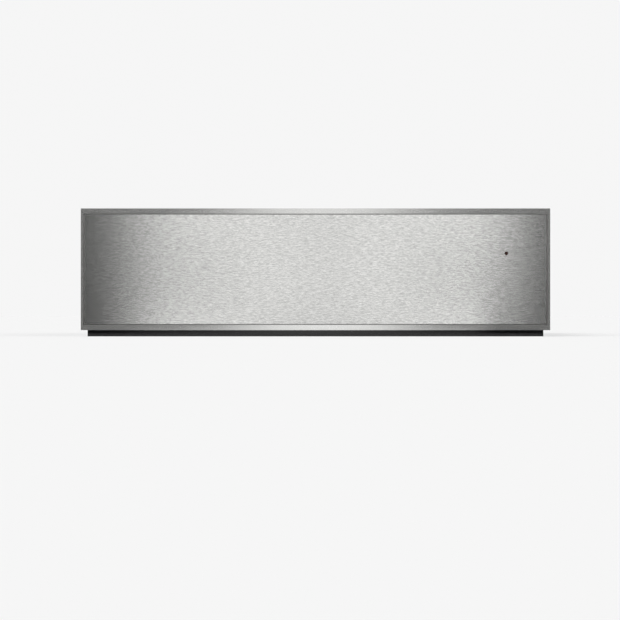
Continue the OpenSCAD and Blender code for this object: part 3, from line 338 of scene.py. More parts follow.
def cage_material(name, node):
    """Brass for a cage's strip, and polished steel round each place of a ball."""
    low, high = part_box(node)
    material, tree = start_material(name + ("_left" if low.x < 0 else "_right"))
    place = place_in_object(tree)
    along = add(tree, "ShaderNodeMath", {0: place["Y"], 1: low.y + FIRST_BALL}, operation="SUBTRACT")
    shifted = add(tree, "ShaderNodeMath", {0: along, 1: BALL_PITCH / 2}, operation="ADD")
    nearest = add(tree, "ShaderNodeMath", {0: shifted, 1: BALL_PITCH}, operation="SNAP")
    off_y = add(tree, "ShaderNodeMath", {0: along, 1: nearest}, operation="SUBTRACT")
    # The rows run a ball's radius inside the cage's top and bottom.
    height = add(tree, "ShaderNodeMath", {0: place["Z"], 1: (low.z + high.z) / 2}, operation="SUBTRACT")
    height = add(tree, "ShaderNodeMath", {0: height}, operation="ABSOLUTE")
    off_z = add(tree, "ShaderNodeMath", {0: height, 1: (high.z - low.z) / 2 - BALL_RADIUS},
                operation="SUBTRACT")
    offset = add(tree, "ShaderNodeCombineXYZ", {"Y": off_y, "Z": off_z})
    distance = add(tree, "ShaderNodeVectorMath", {0: offset}, operation="LENGTH")
    in_ball = add(tree, "ShaderNodeMath", {0: distance, 1: BALL_EDGE}, operation="LESS_THAN")
    strip = add(tree, "ShaderNodeTexNoise", {**real_size(tree, 1, 20, 1), "Detail": 3.0})
    brass = add(tree, "ShaderNodeMix", {"Factor": strip, 6: "B08A45", 7: "DDBC78"}, data_type="RGBA")
    return finish_material(material, (in_ball, brass, "DADCE0"), (in_ball, 0.36, 0.08), Metallic=1.0)


for cage in ("outer_ball_cage", "inner_ball_cage"):
    for side in ("left_", "right_"):
        dress(cage_material("brass_strip_with_steel_balls", side + cage), side + cage)

# %% [markdown]
# ## Moulded plastics and rubber
# Moulded plastic copies the tool it was made in. A spark-eroded tool leaves a fine even pebble, and a
# polished one leaves a soft gloss. Rubber is dull, and its colour shifts a little with talc.

# %% Plastics and rubber
def moulded(name, colours, roughness, pebble, depth, ior=1.5):
    """Moulded plastic or rubber. The pebble is the width of the texture's grains in millimetres."""
    material, tree = start_material(name)
    grains = add(tree, "ShaderNodeTexVoronoi", real_size(tree, pebble), feature="SMOOTH_F1")
    patches = add(tree, "ShaderNodeTexNoise", {**real_size(tree, 15), "Detail": 3.0})
    return finish_material(material, (patches, *colours), (patches, *roughness), (grains, depth, 0.7),
                           IOR=ior)


dress(moulded("abs_moulded_black_fine_pebble", ("1C1C1E", "2A2A2C"), (0.42, 0.52), 0.5, 0.03),
      "selector_console")
dress(moulded("abs_moulded_black_satin", ("1E1E20", "2E2E31"), (0.3, 0.38), 0.35, 0.01), "selector_knob")
dress(moulded("polyamide_moulded_black", ("19191B", "26262A"), (0.45, 0.55), 0.6, 0.03), "cable_gland")
dress(moulded("acetal_moulded_white", ("D5D3CB", "E6E4DD"), (0.28, 0.36), 0.8, 0.008, ior=1.48),
      "left_latch_body", "right_latch_body")
dress(moulded("acetal_moulded_grey", ("34343A", "46464C"), (0.26, 0.34), 0.8, 0.006, ior=1.48),
      "left_latch_plunger", "right_latch_plunger")
dress(moulded("polyester_moulded_ivory", ("DDD6BF", "ECE6D2"), (0.4, 0.5), 0.7, 0.02),
      "terminal_block", "selector_switch")
dress(moulded("rubber_moulded_black", ("151515", "262624"), (0.62, 0.78), 0.6, 0.03, ior=1.52),
      "front_buffers", "glass_pads")
dress(moulded("steatite_pressed_cream", ("CFC8B4", "E4DECD"), (0.48, 0.62), 0.4, 0.03, ior=1.6),
      "thermostats")
dress(moulded("silicone_rubber_extruded_red_brown", ("7A3322", "93442F"), (0.46, 0.58), 0.5, 0.006, ior=1.42),
      "supply_cable", "rear_arm_cable", "front_arm_cable", "drawer_cable")

# %% [markdown]
# ## The lamp's lens, and the glass base
# The lens is a short rod of tinted acrylic. Unlit it looks almost black, with a hint of red-brown. The base
# that plates stand on is toughened glass with a smoke tint. Glass needs its full thickness and real
# refraction, and a fine etch on its faces keeps plates from sliding.

# %% Lens and glass
def tinted_clear(name, colours, roughness, ior, transmission, etch, depth):
    """Clear material with a tint. The etch is the width of its surface pattern in millimetres."""
    material, tree = start_material(name)
    frost = add(tree, "ShaderNodeTexNoise", {**real_size(tree, etch), "Detail": 2.0})
    return finish_material(material, (frost, *colours), (frost, *roughness), (frost, depth, 0.5),
                           IOR=ior, Transmission_Weight=transmission)


dress(tinted_clear("acrylic_tinted_red_brown", ("3A211D", "4A2A24"), (0.14, 0.2), 1.49, 0.35, 0.8, 0.005),
      "indicator_lens")
dress(tinted_clear("glass_toughened_smoke_tint", ("6F7576", "7C8283"), (0.1, 0.16), 1.52, 0.9, 1.5, 0.01),
      "glass_base")

# %% [markdown]
# ## Fibre mats
# The front and the floor are filled with pressed mineral fibre. Fibres lie in all directions in flat layers,
# so two stretched noises, crossed, draw them, with loose clumps below.

# %% Fibre mats
def fibre_mat(name, colours):
    """Pressed fibre. Single fibres are too fine to show, so bundles 0.5 mm wide and 6 mm long are drawn."""
    material, tree = start_material(name)
    strands = [add(tree, "ShaderNodeTexNoise", {**real_size(tree, *size), "Detail": 2.0})
               for size in ((6, 0.5, 0.5), (0.5, 6, 6))]
    clumps = add(tree, "ShaderNodeTexNoise", {**real_size(tree, 9), "Detail": 4.0})
    crossed = add(tree, "ShaderNodeMath", {0: strands[0], 1: strands[1]}, operation="MAXIMUM")
    mixed = add(tree, "ShaderNodeMath", {0: crossed, 1: clumps}, operation="MULTIPLY")
    shown = add(tree, "ShaderNodeMapRange", {"Value": mixed, "From Min": 0.15, "From Max": 0.45})
    return finish_material(material, (shown, *colours), (crossed, 0.8, 0.95), (crossed, 0.3, 0.9))


dress(fibre_mat("mineral_fibre_board_grey", ("5E5A50", "8C887C")), "front_core")
dress(fibre_mat("mineral_fibre_mat_cream", ("BDB594", "E2DCC4")), "floor_insulation")

# %% [markdown]
# ## Electrical parts
# The indicator's board is glass fibre under green solder mask, with copper tracks that show through as
# paler lines. The heating ring's sheath turned dark and blotchy in its first firing, and its ends stand in
# ceramic sleeves. The motor's core is a stack of 0.5 mm sheets.

# %% Circuit board
def circuit_board(name, track_pitch):
    """Green board, whose tracks a brick pattern draws at a pitch in millimetres."""
    material, tree = start_material(name)
    where = add(tree, "ShaderNodeTexCoord").outputs["Object"]
    flat = add(tree, "ShaderNodeMapping", {
        "Vector": where, "Rotation": (math.radians(90), 0, 0), "Scale": (1 / (track_pitch * MM),) * 3})
    tracks = add(tree, "ShaderNodeTexBrick", {
        "Vector": flat, "Color1": "1F5B33", "Color2": "27693C", "Mortar": "4E9A5C", "Scale": 1.0,
        "Mortar Size": 0.06, "Brick Width": 3.1, "Row Height": 1.0}, offset=0.37, squash=0.7).outputs
    feed(tree, tree.nodes["Principled BSDF"], {
        "Base Color": tracks["Color"],
        "Roughness": add(tree, "ShaderNodeMapRange", {"Value": tracks["Fac"], "To Min": 0.3, "To Max": 0.22}),
        "Normal": add(tree, "ShaderNodeBump", {
            "Height": tracks["Fac"], "Distance": 0.03 * MM, "Strength": 0.8})})
    return material


dress(circuit_board("glass_fibre_board_green_mask", 1.3), "indicator_board")

# %% Heating ring
SLEEVES_FROM = 7.7 * MM          # the ring's rod is 6.5 mm thick, and the sleeves go back from it


def heating_ring(name, node):
    """Oxidised steel sheath, with cream ceramic where the sleeves are, behind the ring."""
    low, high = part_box(node)
    material, tree = start_material(name)
    blotches = add(tree, "ShaderNodeTexNoise", {**real_size(tree, 14), "Detail": 5.0, "Roughness": 0.65})
    place = place_in_object(tree)
    behind = add(tree, "ShaderNodeMath", {0: place["Y"], 1: low.y + SLEEVES_FROM}, operation="GREATER_THAN")
    sheath = add(tree, "ShaderNodeMix", {"Factor": blotches, 6: "3A332E", 7: "6C6259"}, data_type="RGBA")
    metallic = add(tree, "ShaderNodeMapRange", {"Value": behind, "To Min": 0.85, "To Max": 0.0})
    return finish_material(material, (behind, sheath, "D9D2BF"), (blotches, 0.42, 0.62), Metallic=metallic)


dress(heating_ring("steel_sheath_oxidised_with_ceramic", "heating_element"), "heating_element")

# %% Laminated core
def layered(name, colours, layer, roughness, metallic, depth):
    """A stack of sheets along Y: bands one sheet wide, in millimetres, whose colour drifts a little."""
    material, tree = start_material(name)
    # The wave's phase is 20 times its scale times the place, so this scale gives one band to each unit.
    bands = add(tree, "ShaderNodeTexWave", {**real_size(tree, layer), "Scale": math.tau / 20},
                wave_type="BANDS", bands_direction="Y").outputs["Fac"]
    drift = add(tree, "ShaderNodeTexNoise", {**real_size(tree, 6), "Detail": 4.0})
    mixed = add(tree, "ShaderNodeMath", {0: bands, 1: drift}, operation="MULTIPLY")
    shown = add(tree, "ShaderNodeMapRange", {"Value": mixed, "From Max": 0.6})
    return finish_material(material, (shown, *colours), (drift, *roughness), (bands, depth, 0.8),
                           Metallic=metallic)


dress(layered("iron_sheets_stacked_varnished", ("4A4642", "8C867E"), 0.5, (0.4, 0.55), 0.8, 0.05),
      "motor_core", "motor_rotor")

# %% [markdown]
# ## What repeats, with Geometry Nodes
# Screws, weld prints, scale marks and coil turns are each one small shape in many places. A node tree makes
# the shape once from named sizes and sets a copy on every place. The places come in as points, each with
# the direction in which its copy faces. The tree ends in Realize Instances, since instances don't survive
# an export, and the result is kept as a plain mesh, one for each body.

# %% Helpers for repeated shapes
def solids_of(name):
    """The lowest and highest corner of each separate solid of a node, from left to right."""
    mesh = nodes[name].data
    group = list(range(len(mesh.vertices)))

    def root(i):
        while group[i] != i:
            group[i] = group[group[i]]
            i = group[i]
        return i

    # Points at the same place belong together, and so do the two ends of an edge.
    first_at = {}
    for vertex in mesh.vertices:
        spot = tuple(round(c, 6) for c in vertex.co)
        group[root(vertex.index)] = root(first_at.setdefault(spot, vertex.index))
    for edge in mesh.edges:
        group[root(edge.vertices[0])] = root(edge.vertices[1])
    solids = {}
    for vertex in mesh.vertices:
        solids.setdefault(root(vertex.index), []).append(vertex.co)
    boxes = [[Vector([pick(p[i] for p in points) for i in range(3)]) for pick in (min, max)]
             for points in solids.values()]
    return sorted(boxes, key=lambda box: (round(box[0].x, 3), round(box[0].y, 3), round(box[0].z, 3)))


def new_tree(name, *sizes):
    """A node tree whose inputs are places, a material and the named sizes, and the outputs that give them."""
    tree = bpy.data.node_groups.new(name, "GeometryNodeTree")
    tree.interface.new_socket(name="Places", in_out="INPUT", socket_type="NodeSocketGeometry")
    tree.interface.new_socket(name="Result", in_out="OUTPUT", socket_type="NodeSocketGeometry")
    tree.interface.new_socket(name="Finish", in_out="INPUT", socket_type="NodeSocketMaterial")
    for size in sizes:
        kind = "NodeSocketInt" if size.startswith("Number") else "NodeSocketFloat"
        tree.interface.new_socket(name=size, in_out="INPUT", socket_type=kind)
    return tree, tree.nodes.new("NodeGroupInput").outputs


def finish_tree(tree, given, geometry):
    """Ends a tree, in which instances become real faces and get the material."""
    real = add(tree, "GeometryNodeRealizeInstances", {"Geometry": geometry})
    dressed = add(tree, "GeometryNodeSetMaterial", {"Geometry": real, "Material": given["Finish"]})
    add(tree, "NodeGroupOutput", {"Result": dressed})
    print("tree:", tree.name, "with", len(tree.nodes), "nodes")
    return tree


def set_on_places(tree, points, shape):
    """Copies of a shape on points, turned so that the shape's Z looks along each point's direction."""
    facing = add(tree, "GeometryNodeInputNamedAttribute", {"Name": "facing"}, data_type="FLOAT_VECTOR")
    turned = add(tree, "FunctionNodeAlignRotationToVector", {"Vector": facing}, axis="Z")
    return add(tree, "GeometryNodeInstanceOnPoints", {
        "Points": points, "Instance": shape, "Rotation": turned})


def grow(name, tree, places, lines, sizes, material, body):
    """Runs a tree on places, which are pairs of a point and a direction, and keeps a plain mesh on a body."""
    seed = bpy.data.meshes.new(name + "_places")
    seed.from_pydata([point for point, _ in places], lines, [])
    facing = seed.attributes.new("facing", "FLOAT_VECTOR", "POINT")
    for item, (_, direction) in zip(facing.data, places):
        item.vector = direction
    piece = put_in_scene(name, seed)
    modifier = piece.modifiers.new("repeat", "NODES")
    modifier.node_group = tree
    values = {**sizes, "Finish": material}
    for socket in tree.interface.items_tree:
        if socket.name in values:
            modifier[socket.identifier] = values[socket.name]
    evaluated = piece.evaluated_get(bpy.context.evaluated_depsgraph_get())
    mesh = bpy.data.meshes.new_from_object(evaluated)
    piece.modifiers.remove(modifier)
    piece.data = mesh
    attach(piece, body)
    print(name, "on", body + ":", len(places), "places,", len(mesh.polygons), "faces")
    return piece

# %% [markdown]
# ### Screws
# A pan head is a cylinder cut by a ball, and a countersunk head is a cone cut by a very large ball, so one
# tree makes both. Two crossed blocks cut the recess. The places are read from the frame's own screws, which
# these screws replace.

# %% Tree for screws
tree, given = new_tree("cross_recess_screw", "Head radius", "Radius under head", "Head height", "Crown",
                       "Shank radius", "Shank length", "Recess length", "Recess width", "Recess depth")
blank = add(tree, "GeometryNodeMeshCone", {
    "Vertices": 32, "Radius Bottom": given["Radius under head"], "Radius Top": given["Head radius"],
    "Depth": given["Head height"]})
# A ball that is cut off at the head's edge rises by the crown: its radius is (r * r + c * c) / 2c.
squares = [add(tree, "ShaderNodeMath", {0: given[size], 1: 2.0}, operation="POWER")
           for size in ("Head radius", "Crown")]
square_sum = add(tree, "ShaderNodeMath", {0: squares[0], 1: squares[1]}, operation="ADD")
two_crowns = add(tree, "ShaderNodeMath", {0: given["Crown"], 1: 2.0}, operation="MULTIPLY")
ball_radius = add(tree, "ShaderNodeMath", {0: square_sum, 1: two_crowns}, operation="DIVIDE")
ball_z = add(tree, "ShaderNodeMath", {0: given["Head height"], 1: ball_radius}, operation="SUBTRACT")
ball = add(tree, "GeometryNodeTransform", {
    "Geometry": add(tree, "GeometryNodeMeshIcoSphere", {"Radius": 1.0, "Subdivisions": 5}),
    "Scale": ball_radius, "Translation": add(tree, "ShaderNodeCombineXYZ", {"Z": ball_z})})
head = add(tree, "GeometryNodeMeshBoolean", {"Mesh 2": [blank, ball]},
           operation="INTERSECT", solver="EXACT")
twice_deep = add(tree, "ShaderNodeMath", {0: given["Recess depth"], 1: 2.0}, operation="MULTIPLY")
bars = [add(tree, "GeometryNodeMeshCube", {"Size": add(tree, "ShaderNodeCombineXYZ", {
    "X": given["Recess " + along], "Y": given["Recess " + across], "Z": twice_deep})})
    for along, across in (("length", "width"), ("width", "length"))]
cross = add(tree, "GeometryNodeTransform", {
    "Geometry": add(tree, "GeometryNodeMeshBoolean", {"Mesh 2": bars}, operation="UNION", solver="EXACT"),
    "Translation": add(tree, "ShaderNodeCombineXYZ", {"Z": given["Head height"]})})
recessed = add(tree, "GeometryNodeMeshBoolean", {"Mesh 1": head, "Mesh 2": cross},
               operation="DIFFERENCE", solver="EXACT")
shank_z = add(tree, "ShaderNodeMath", {0: given["Shank length"], 1: -0.5}, operation="MULTIPLY")
shank = add(tree, "GeometryNodeTransform", {
    "Geometry": add(tree, "GeometryNodeMeshCylinder", {
        "Vertices": 20, "Radius": given["Shank radius"], "Depth": given["Shank length"]}),
    "Translation": add(tree, "ShaderNodeCombineXYZ", {"Z": shank_z})})
screw = add(tree, "GeometryNodeJoinGeometry", {"Geometry": [recessed, shank]})
screw_tree = finish_tree(tree, given, set_on_places(tree, given["Places"], screw))

# %% Screws
def screws_like(name, node, outward, sizes, body):
    """Screws in place of a node's solids. Their heads look outward (1) or inward (-1)."""
    places = []
    for low, high in solids_of(node):
        facing = outward if low.x > 0 else -outward
        head_x = (high.x if facing > 0 else low.x) - facing * sizes["Head height"]
        places.append(((head_x, (low.y + high.y) / 2, (low.z + high.z) / 2), (facing, 0, 0)))
    screws = grow(name, screw_tree, places, [], sizes, screw_steel, body)
    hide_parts(node)


PAN_HEAD = {"Head radius": 3.0 * MM, "Radius under head": 3.0 * MM, "Head height": 1.4 * MM,
            "Crown": 0.8 * MM, "Shank radius": 1.8 * MM, "Shank length": 4.0 * MM,
            "Recess length": 3.4 * MM, "Recess width": 0.8 * MM, "Recess depth": 1.0 * MM}
FLAT_HEAD = {"Head radius": 3.2 * MM, "Radius under head": 1.9 * MM, "Head height": 1.3 * MM,
             "Crown": 0.05 * MM, "Shank radius": 1.9 * MM, "Shank length": 1.3 * MM,
             "Recess length": 3.2 * MM, "Recess width": 0.8 * MM, "Recess depth": 0.9 * MM}
screws_like("cover_screws", "housing_screws", 1, PAN_HEAD, "housing")
screws_like("cabinet_rail_flat_screws", "cabinet_rail_screws", -1, FLAT_HEAD, "housing")
screws_like("drawer_rail_flat_screws", "drawer_rail_screws", 1, {**FLAT_HEAD, "Shank length": 1.9 * MM},
            "drawer")

# %% [markdown]
# ### Spot welds
# The housing's sheets are held by spot welds along their seams. Each weld leaves a round print, a low ring
# with a flat middle. The tree draws a row along each seam line at an even pitch.

# %% Tree for spot welds
tree, given = new_tree("spot_weld_rows", "Pitch", "Print radius", "Ring thickness")
seams = add(tree, "GeometryNodeMeshToCurve", {"Mesh": given["Places"]})
row = add(tree, "GeometryNodeResampleCurve", {"Curve": seams, "Length": given["Pitch"]}, mode="LENGTH")
row_points = add(tree, "GeometryNodeCurveToPoints", {"Curve": row}, mode="EVALUATED")
ring = add(tree, "GeometryNodeCurvePrimitiveCircle", {"Resolution": 20, "Radius": given["Print radius"]})
wire = add(tree, "GeometryNodeCurvePrimitiveCircle", {"Resolution": 6, "Radius": given["Ring thickness"]})
raised = add(tree, "GeometryNodeCurveToMesh", {"Curve": ring, "Profile Curve": wire})
weld_tree = finish_tree(tree, given, set_on_places(tree, row_points, raised))

# %% Spot welds
SHEET = 1.0 * MM
FOOT_Z = 7 * MM                           # the foot seam's height
FOOT_ENDS = (40 * MM, 30 * MM)            # what it leaves free in front and behind
REAR_IN = 8 * MM                          # the rear seam's way in from the back edge
REAR_ENDS = (28 * MM, 118 * MM)           # its lower and upper end
wall_low, wall_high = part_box("right_side_wall")
shell_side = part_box("top_cover")[1].x - SHEET           # outer face of the side walls
rows = []
for side in (-1, 1):
    x, rear_y, facing = side * shell_side, wall_high.y - REAR_IN, (side, 0, 0)
    # The side wall's foot is welded to the base, and its back edge to the rear wall's flange.
    rows.append(((x, wall_low.y + FOOT_ENDS[0], FOOT_Z), (x, wall_high.y - FOOT_ENDS[1], FOOT_Z), facing))
    rows.append(((x, rear_y, REAR_ENDS[0]), (x, rear_y, REAR_ENDS[1]), facing))
row_ends = [(end, facing) for first, last, facing in rows for end in (first, last)]
grow("housing_spot_welds", weld_tree, row_ends, [(2 * i, 2 * i + 1) for i in range(len(rows))],
     {"Pitch": 45 * MM, "Print radius": 2.2 * MM, "Ring thickness": 0.22 * MM},
     plated_steel("steel_spot_weld_print", (0.8, 0.8, 0.8), ("7C7E80", "A4A6A8"), (0.42, 0.55)),
     "housing")

# %% [markdown]
# ### The selector's scale
# The console has a row of printed dots round the knob's well, small at the cool end and large at the warm
# end. The tree lays points on an arc and makes each dot a little larger than the one before.

# %% Tree for the scale
tree, given = new_tree("growing_dots_on_arc", "Arc radius", "Number of dots", "Smallest", "Largest",
                       "Ink thickness", "Start", "Sweep")
arc = add(tree, "GeometryNodeCurveArc", {
    "Resolution": given["Number of dots"], "Radius": given["Arc radius"], "Start Angle": given["Start"],
    "Sweep Angle": given["Sweep"]})
marks = add(tree, "GeometryNodeCurveToPoints", {"Curve": arc}, mode="EVALUATED")
number = add(tree, "GeometryNodeInputIndex")
last = add(tree, "ShaderNodeMath", {0: given["Number of dots"], 1: 1.0}, operation="SUBTRACT")
share = add(tree, "ShaderNodeMath", {0: number, 1: last}, operation="DIVIDE")
radius = add(tree, "ShaderNodeMapRange", {
    "Value": share, "To Min": given["Smallest"], "To Max": given["Largest"]})
size = add(tree, "ShaderNodeCombineXYZ", {"X": radius, "Y": radius, "Z": given["Ink thickness"]})
disc = add(tree, "GeometryNodeMeshCylinder", {"Vertices": 24, "Radius": 1.0, "Depth": 1.0})
dots = add(tree, "GeometryNodeInstanceOnPoints", {"Points": marks, "Instance": disc, "Scale": size})
# Each place of the tree gets the whole scale.
whole = add(tree, "GeometryNodeInstanceOnPoints", {"Points": given["Places"], "Instance": dots})
scale_tree = finish_tree(tree, given, whole)

# %% Scale and pointer
knob_low, knob_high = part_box("selector_knob")
console_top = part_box("selector_console")[1].z
knob_middle = (knob_low + knob_high) / 2
INK = 0.08 * MM
scale_ink = moulded("screen_printed_ink_white", ("DDDDDB", "E6E6E4"), (0.5, 0.6), 0.5, 0.005)
grow("selector_scale_dots", scale_tree, [((knob_middle.x, knob_middle.y, console_top + INK / 2), (0, 0, 1))],
     [], {"Arc radius": 17.8 * MM, "Number of dots": 13, "Smallest": 0.35 * MM, "Largest": 0.95 * MM,
          "Ink thickness": INK, "Start": math.radians(270), "Sweep": math.radians(-240)},
     scale_ink, "drawer")


def built(name, build, material):
    """A bmesh as an object in the scene."""
    mesh = bpy.data.meshes.new(name)
    build.to_mesh(mesh)
    build.free()
    mesh.materials.append(material)
    print(name + ":", len(mesh.polygons), "faces")
    return put_in_scene(name, mesh)


def rounded_bar(middle, length, width, height, bevel):
    """A bar along Y with rounded ends and edges, whose underside is at the middle's height."""
    build = bmesh.new()
    bmesh.ops.create_cube(build, size=1.0)
    for vertex in build.verts:
        vertex.co = Vector((vertex.co.x * width, vertex.co.y * length, (vertex.co.z + 0.5) * height)) + middle
    upright = [edge for edge in build.edges if abs(edge.verts[0].co.z - edge.verts[1].co.z) > height / 2]
    bmesh.ops.bevel(build, geom=upright, offset=width * 0.48, segments=6, affect="EDGES")
    top = [edge for edge in build.edges if all(abs(v.co.z - middle.z - height) < 1e-7 for v in edge.verts)]
    bmesh.ops.bevel(build, geom=top, offset=bevel, segments=2, affect="EDGES")
    return build


# The front half of the knob's raised bar carries a white inlay, which tells its two ends apart.
INLAY_LENGTH, INLAY_WIDTH, INLAY_HEIGHT, INLAY_BEVEL = 8.0 * MM, 1.5 * MM, 0.2 * MM, 0.06 * MM
INLAY_IN, INLAY_SUNK = 1.8 * MM, 0.05 * MM             # from the knob's front edge, and into the bar's top
inlay_middle = Vector((knob_middle.x, knob_low.y + INLAY_IN + INLAY_LENGTH / 2, knob_high.z - INLAY_SUNK))
inlay = rounded_bar(inlay_middle, INLAY_LENGTH, INLAY_WIDTH, INLAY_HEIGHT, INLAY_BEVEL)
pointer = built("selector_pointer_inlay", inlay, scale_ink)
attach(pointer, "selector")

# %% [markdown]
# ### The motor's winding
# The coil is enamelled wire round the core's lower leg. One turn is a rounded loop of wire, and the tree
# repeats it along the leg at the wire's own pitch. Two flanges of the bobbin hold the turns. Real turns lie
# in many layers of thinner wire, and only the outermost one shows, so one layer of thicker wire stands for
# them.

# %% Tree for the winding
tree, given = new_tree("wound_turns", "Number of turns", "Pitch", "Loop width", "Loop height",
                       "Corner radius", "Wire radius")
loop = add(tree, "GeometryNodeCurvePrimitiveQuadrilateral", {
    "Width": given["Loop width"], "Height": given["Loop height"]})
rounded = add(tree, "GeometryNodeFilletCurve", {
    "Curve": loop, "Count": 5, "Radius": given["Corner radius"]}, mode="POLY")
wire = add(tree, "GeometryNodeCurvePrimitiveCircle", {"Resolution": 8, "Radius": given["Wire radius"]})
turn = add(tree, "GeometryNodeCurveToMesh", {"Curve": rounded, "Profile Curve": wire})
# The row is centred, so it starts half its length before the place.
steps = add(tree, "ShaderNodeMath", {0: given["Number of turns"], 1: 1.0}, operation="SUBTRACT")
half_step = add(tree, "ShaderNodeMath", {0: given["Pitch"], 1: -0.5}, operation="MULTIPLY")
start = add(tree, "ShaderNodeMath", {0: steps, 1: half_step}, operation="MULTIPLY")
row = add(tree, "GeometryNodeMeshLine", {
    "Count": given["Number of turns"], "Start Location": add(tree, "ShaderNodeCombineXYZ", {"Z": start}),
    "Offset": add(tree, "ShaderNodeCombineXYZ", {"Z": given["Pitch"]})})
turns = add(tree, "GeometryNodeInstanceOnPoints", {"Points": row, "Instance": turn})
coil_tree = finish_tree(tree, given, set_on_places(tree, given["Places"], turns))

# %% Winding and bobbin
FLANGE, WIRE = 1.2 * MM, 0.55 * MM        # the bobbin's thickness and the wire's radius
TURN_PITCH = 2.03 * WIRE
INSIDE = 2.6 * MM                         # how much smaller the winding is than the bobbin's flanges
LEG_HEIGHT = 10 * MM
coil_low, coil_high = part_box("motor_coil")
coil_size = coil_high - coil_low
copper = plated_steel("copper_wire_enamelled", (0.5, 4, 4), ("7A3314", "C77C46"), (0.2, 0.3))
winding = grow("motor_winding", coil_tree, [((coil_low + coil_high) / 2, (1, 0, 0))], [], {
    "Number of turns": int((coil_size.x - 2 * FLANGE) / TURN_PITCH), "Pitch": TURN_PITCH,
    "Loop width": coil_size.z - INSIDE, "Loop height": coil_size.y - INSIDE, "Corner radius": 3 * MM,
    "Wire radius": WIRE}, copper, "drawer")
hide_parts("motor_coil")


def bobbin_flanges(leg_low, leg_high, low, high, thickness):
    """Two frames round the core's leg, at the winding's ends."""
    build = bmesh.new()

    def corners_at(x, a, b):
        return [build.verts.new((x, y, z)) for y, z in ((a.y, a.z), (b.y, a.z), (b.y, b.z), (a.y, b.z))]

    for x in (low.x, high.x - thickness):
        outer_0, inner_0 = corners_at(x, low, high), corners_at(x, leg_low, leg_high)
        outer_1, inner_1 = corners_at(x + thickness, low, high), corners_at(x + thickness, leg_low, leg_high)
        for i in range(4):
            k = (i + 1) % 4
            build.faces.new((outer_0[i], inner_0[i], inner_0[k], outer_0[k]))
            build.faces.new((outer_1[i], outer_1[k], inner_1[k], inner_1[i]))
            build.faces.new((outer_0[i], outer_0[k], outer_1[k], outer_1[i]))
            build.faces.new((inner_0[i], inner_1[i], inner_1[k], inner_0[k]))
    bmesh.ops.recalc_face_normals(build, faces=build.faces)
    return build


core_low, core_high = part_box("motor_core")
leg_high = Vector((0, core_high.y, core_low.z + LEG_HEIGHT))
bobbin = built("motor_bobbin", bobbin_flanges(core_low, leg_high, coil_low, coil_high, FLANGE),
               moulded("polyamide_glass_filled_white", ("CFCBC0", "DAD6CC"), (0.45, 0.55), 0.8, 0.02))
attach(bobbin, "drawer")

# %% [markdown]
# ## The studio
# A plain pale floor runs out under the drawer to the horizon, and a pale world closes the view. Part of the
# floor's level is its own, so that floor and world meet without an edge.

# %% Floor
def stage_plane(name, corners, material):
    """A flat sheet with the given corners, which belongs to the studio."""
    mesh = bpy.data.meshes.new(name)
    mesh.from_pydata([Vector(c) for c in corners], [], [range(len(corners))])
    mesh.materials.append(material)
    plane = put_in_scene(name, mesh)
    return plane


def floor_paper(name):
    """Matt pale paper. For the camera it glows a little, so that it stays even, shadows included."""
    material, tree = start_material(name)
    fibre = add(tree, "ShaderNodeTexNoise", {**real_size(tree, 40), "Detail": 4.0})
    seen = add(tree, "ShaderNodeLightPath").outputs["Is Camera Ray"]
    paper = add(tree, "ShaderNodeMix", {"Factor": fibre, 6: "E2E2E2", 7: "E8E8E8"}, data_type="RGBA")
    feed(tree, tree.nodes["Principled BSDF"], {
        "Base Color": add(tree, "ShaderNodeMix", {"Factor": seen, 6: paper, 7: "A2A2A2"}, data_type="RGBA"),
        "Roughness": 1.0, "Specular IOR Level": 0.0, "Emission Color": (1, 1, 1, 1),
        "Emission Strength": add(tree, "ShaderNodeMapRange", {"Value": seen, "To Min": 0.0, "To Max": 0.51})})
    return material


FLOOR = 14.0
stage_plane("floor", [(-FLOOR, -FLOOR, 0), (FLOOR, -FLOOR, 0), (FLOOR, FLOOR, 0), (-FLOOR, FLOOR, 0)],
            floor_paper("studio_paper_floor"))
print("floor:", 2 * FLOOR, "m wide")

# %% [markdown]
# ## Light panels that only steel sees
# The panels stand behind the camera and lie before the drawer. Their levels fan out from the front with the
# rays, so a level that is written for a place on the front also shows at that place. The smooth rim shows
# only the low panel and the floor before it, and has to fade soon beside the middle. The plate's grain
# gathers light from far above and below, so it sees those too. Light that stands only in the high panel,
# at both sides of the middle, makes the plate even and leaves the rim alone.

# %% Light panels
def plateau(x, left, right):
    """One between two smooth slopes and zero outside them. Each slope runs between the given places."""
    rise = min(max((x - left[0]) / (left[1] - left[0]), 0), 1)
    fall = min(max((right[1] - x) / (right[1] - right[0]), 0), 1)
    return rise * rise * (3 - 2 * rise) * fall * fall * (3 - 2 * fall)


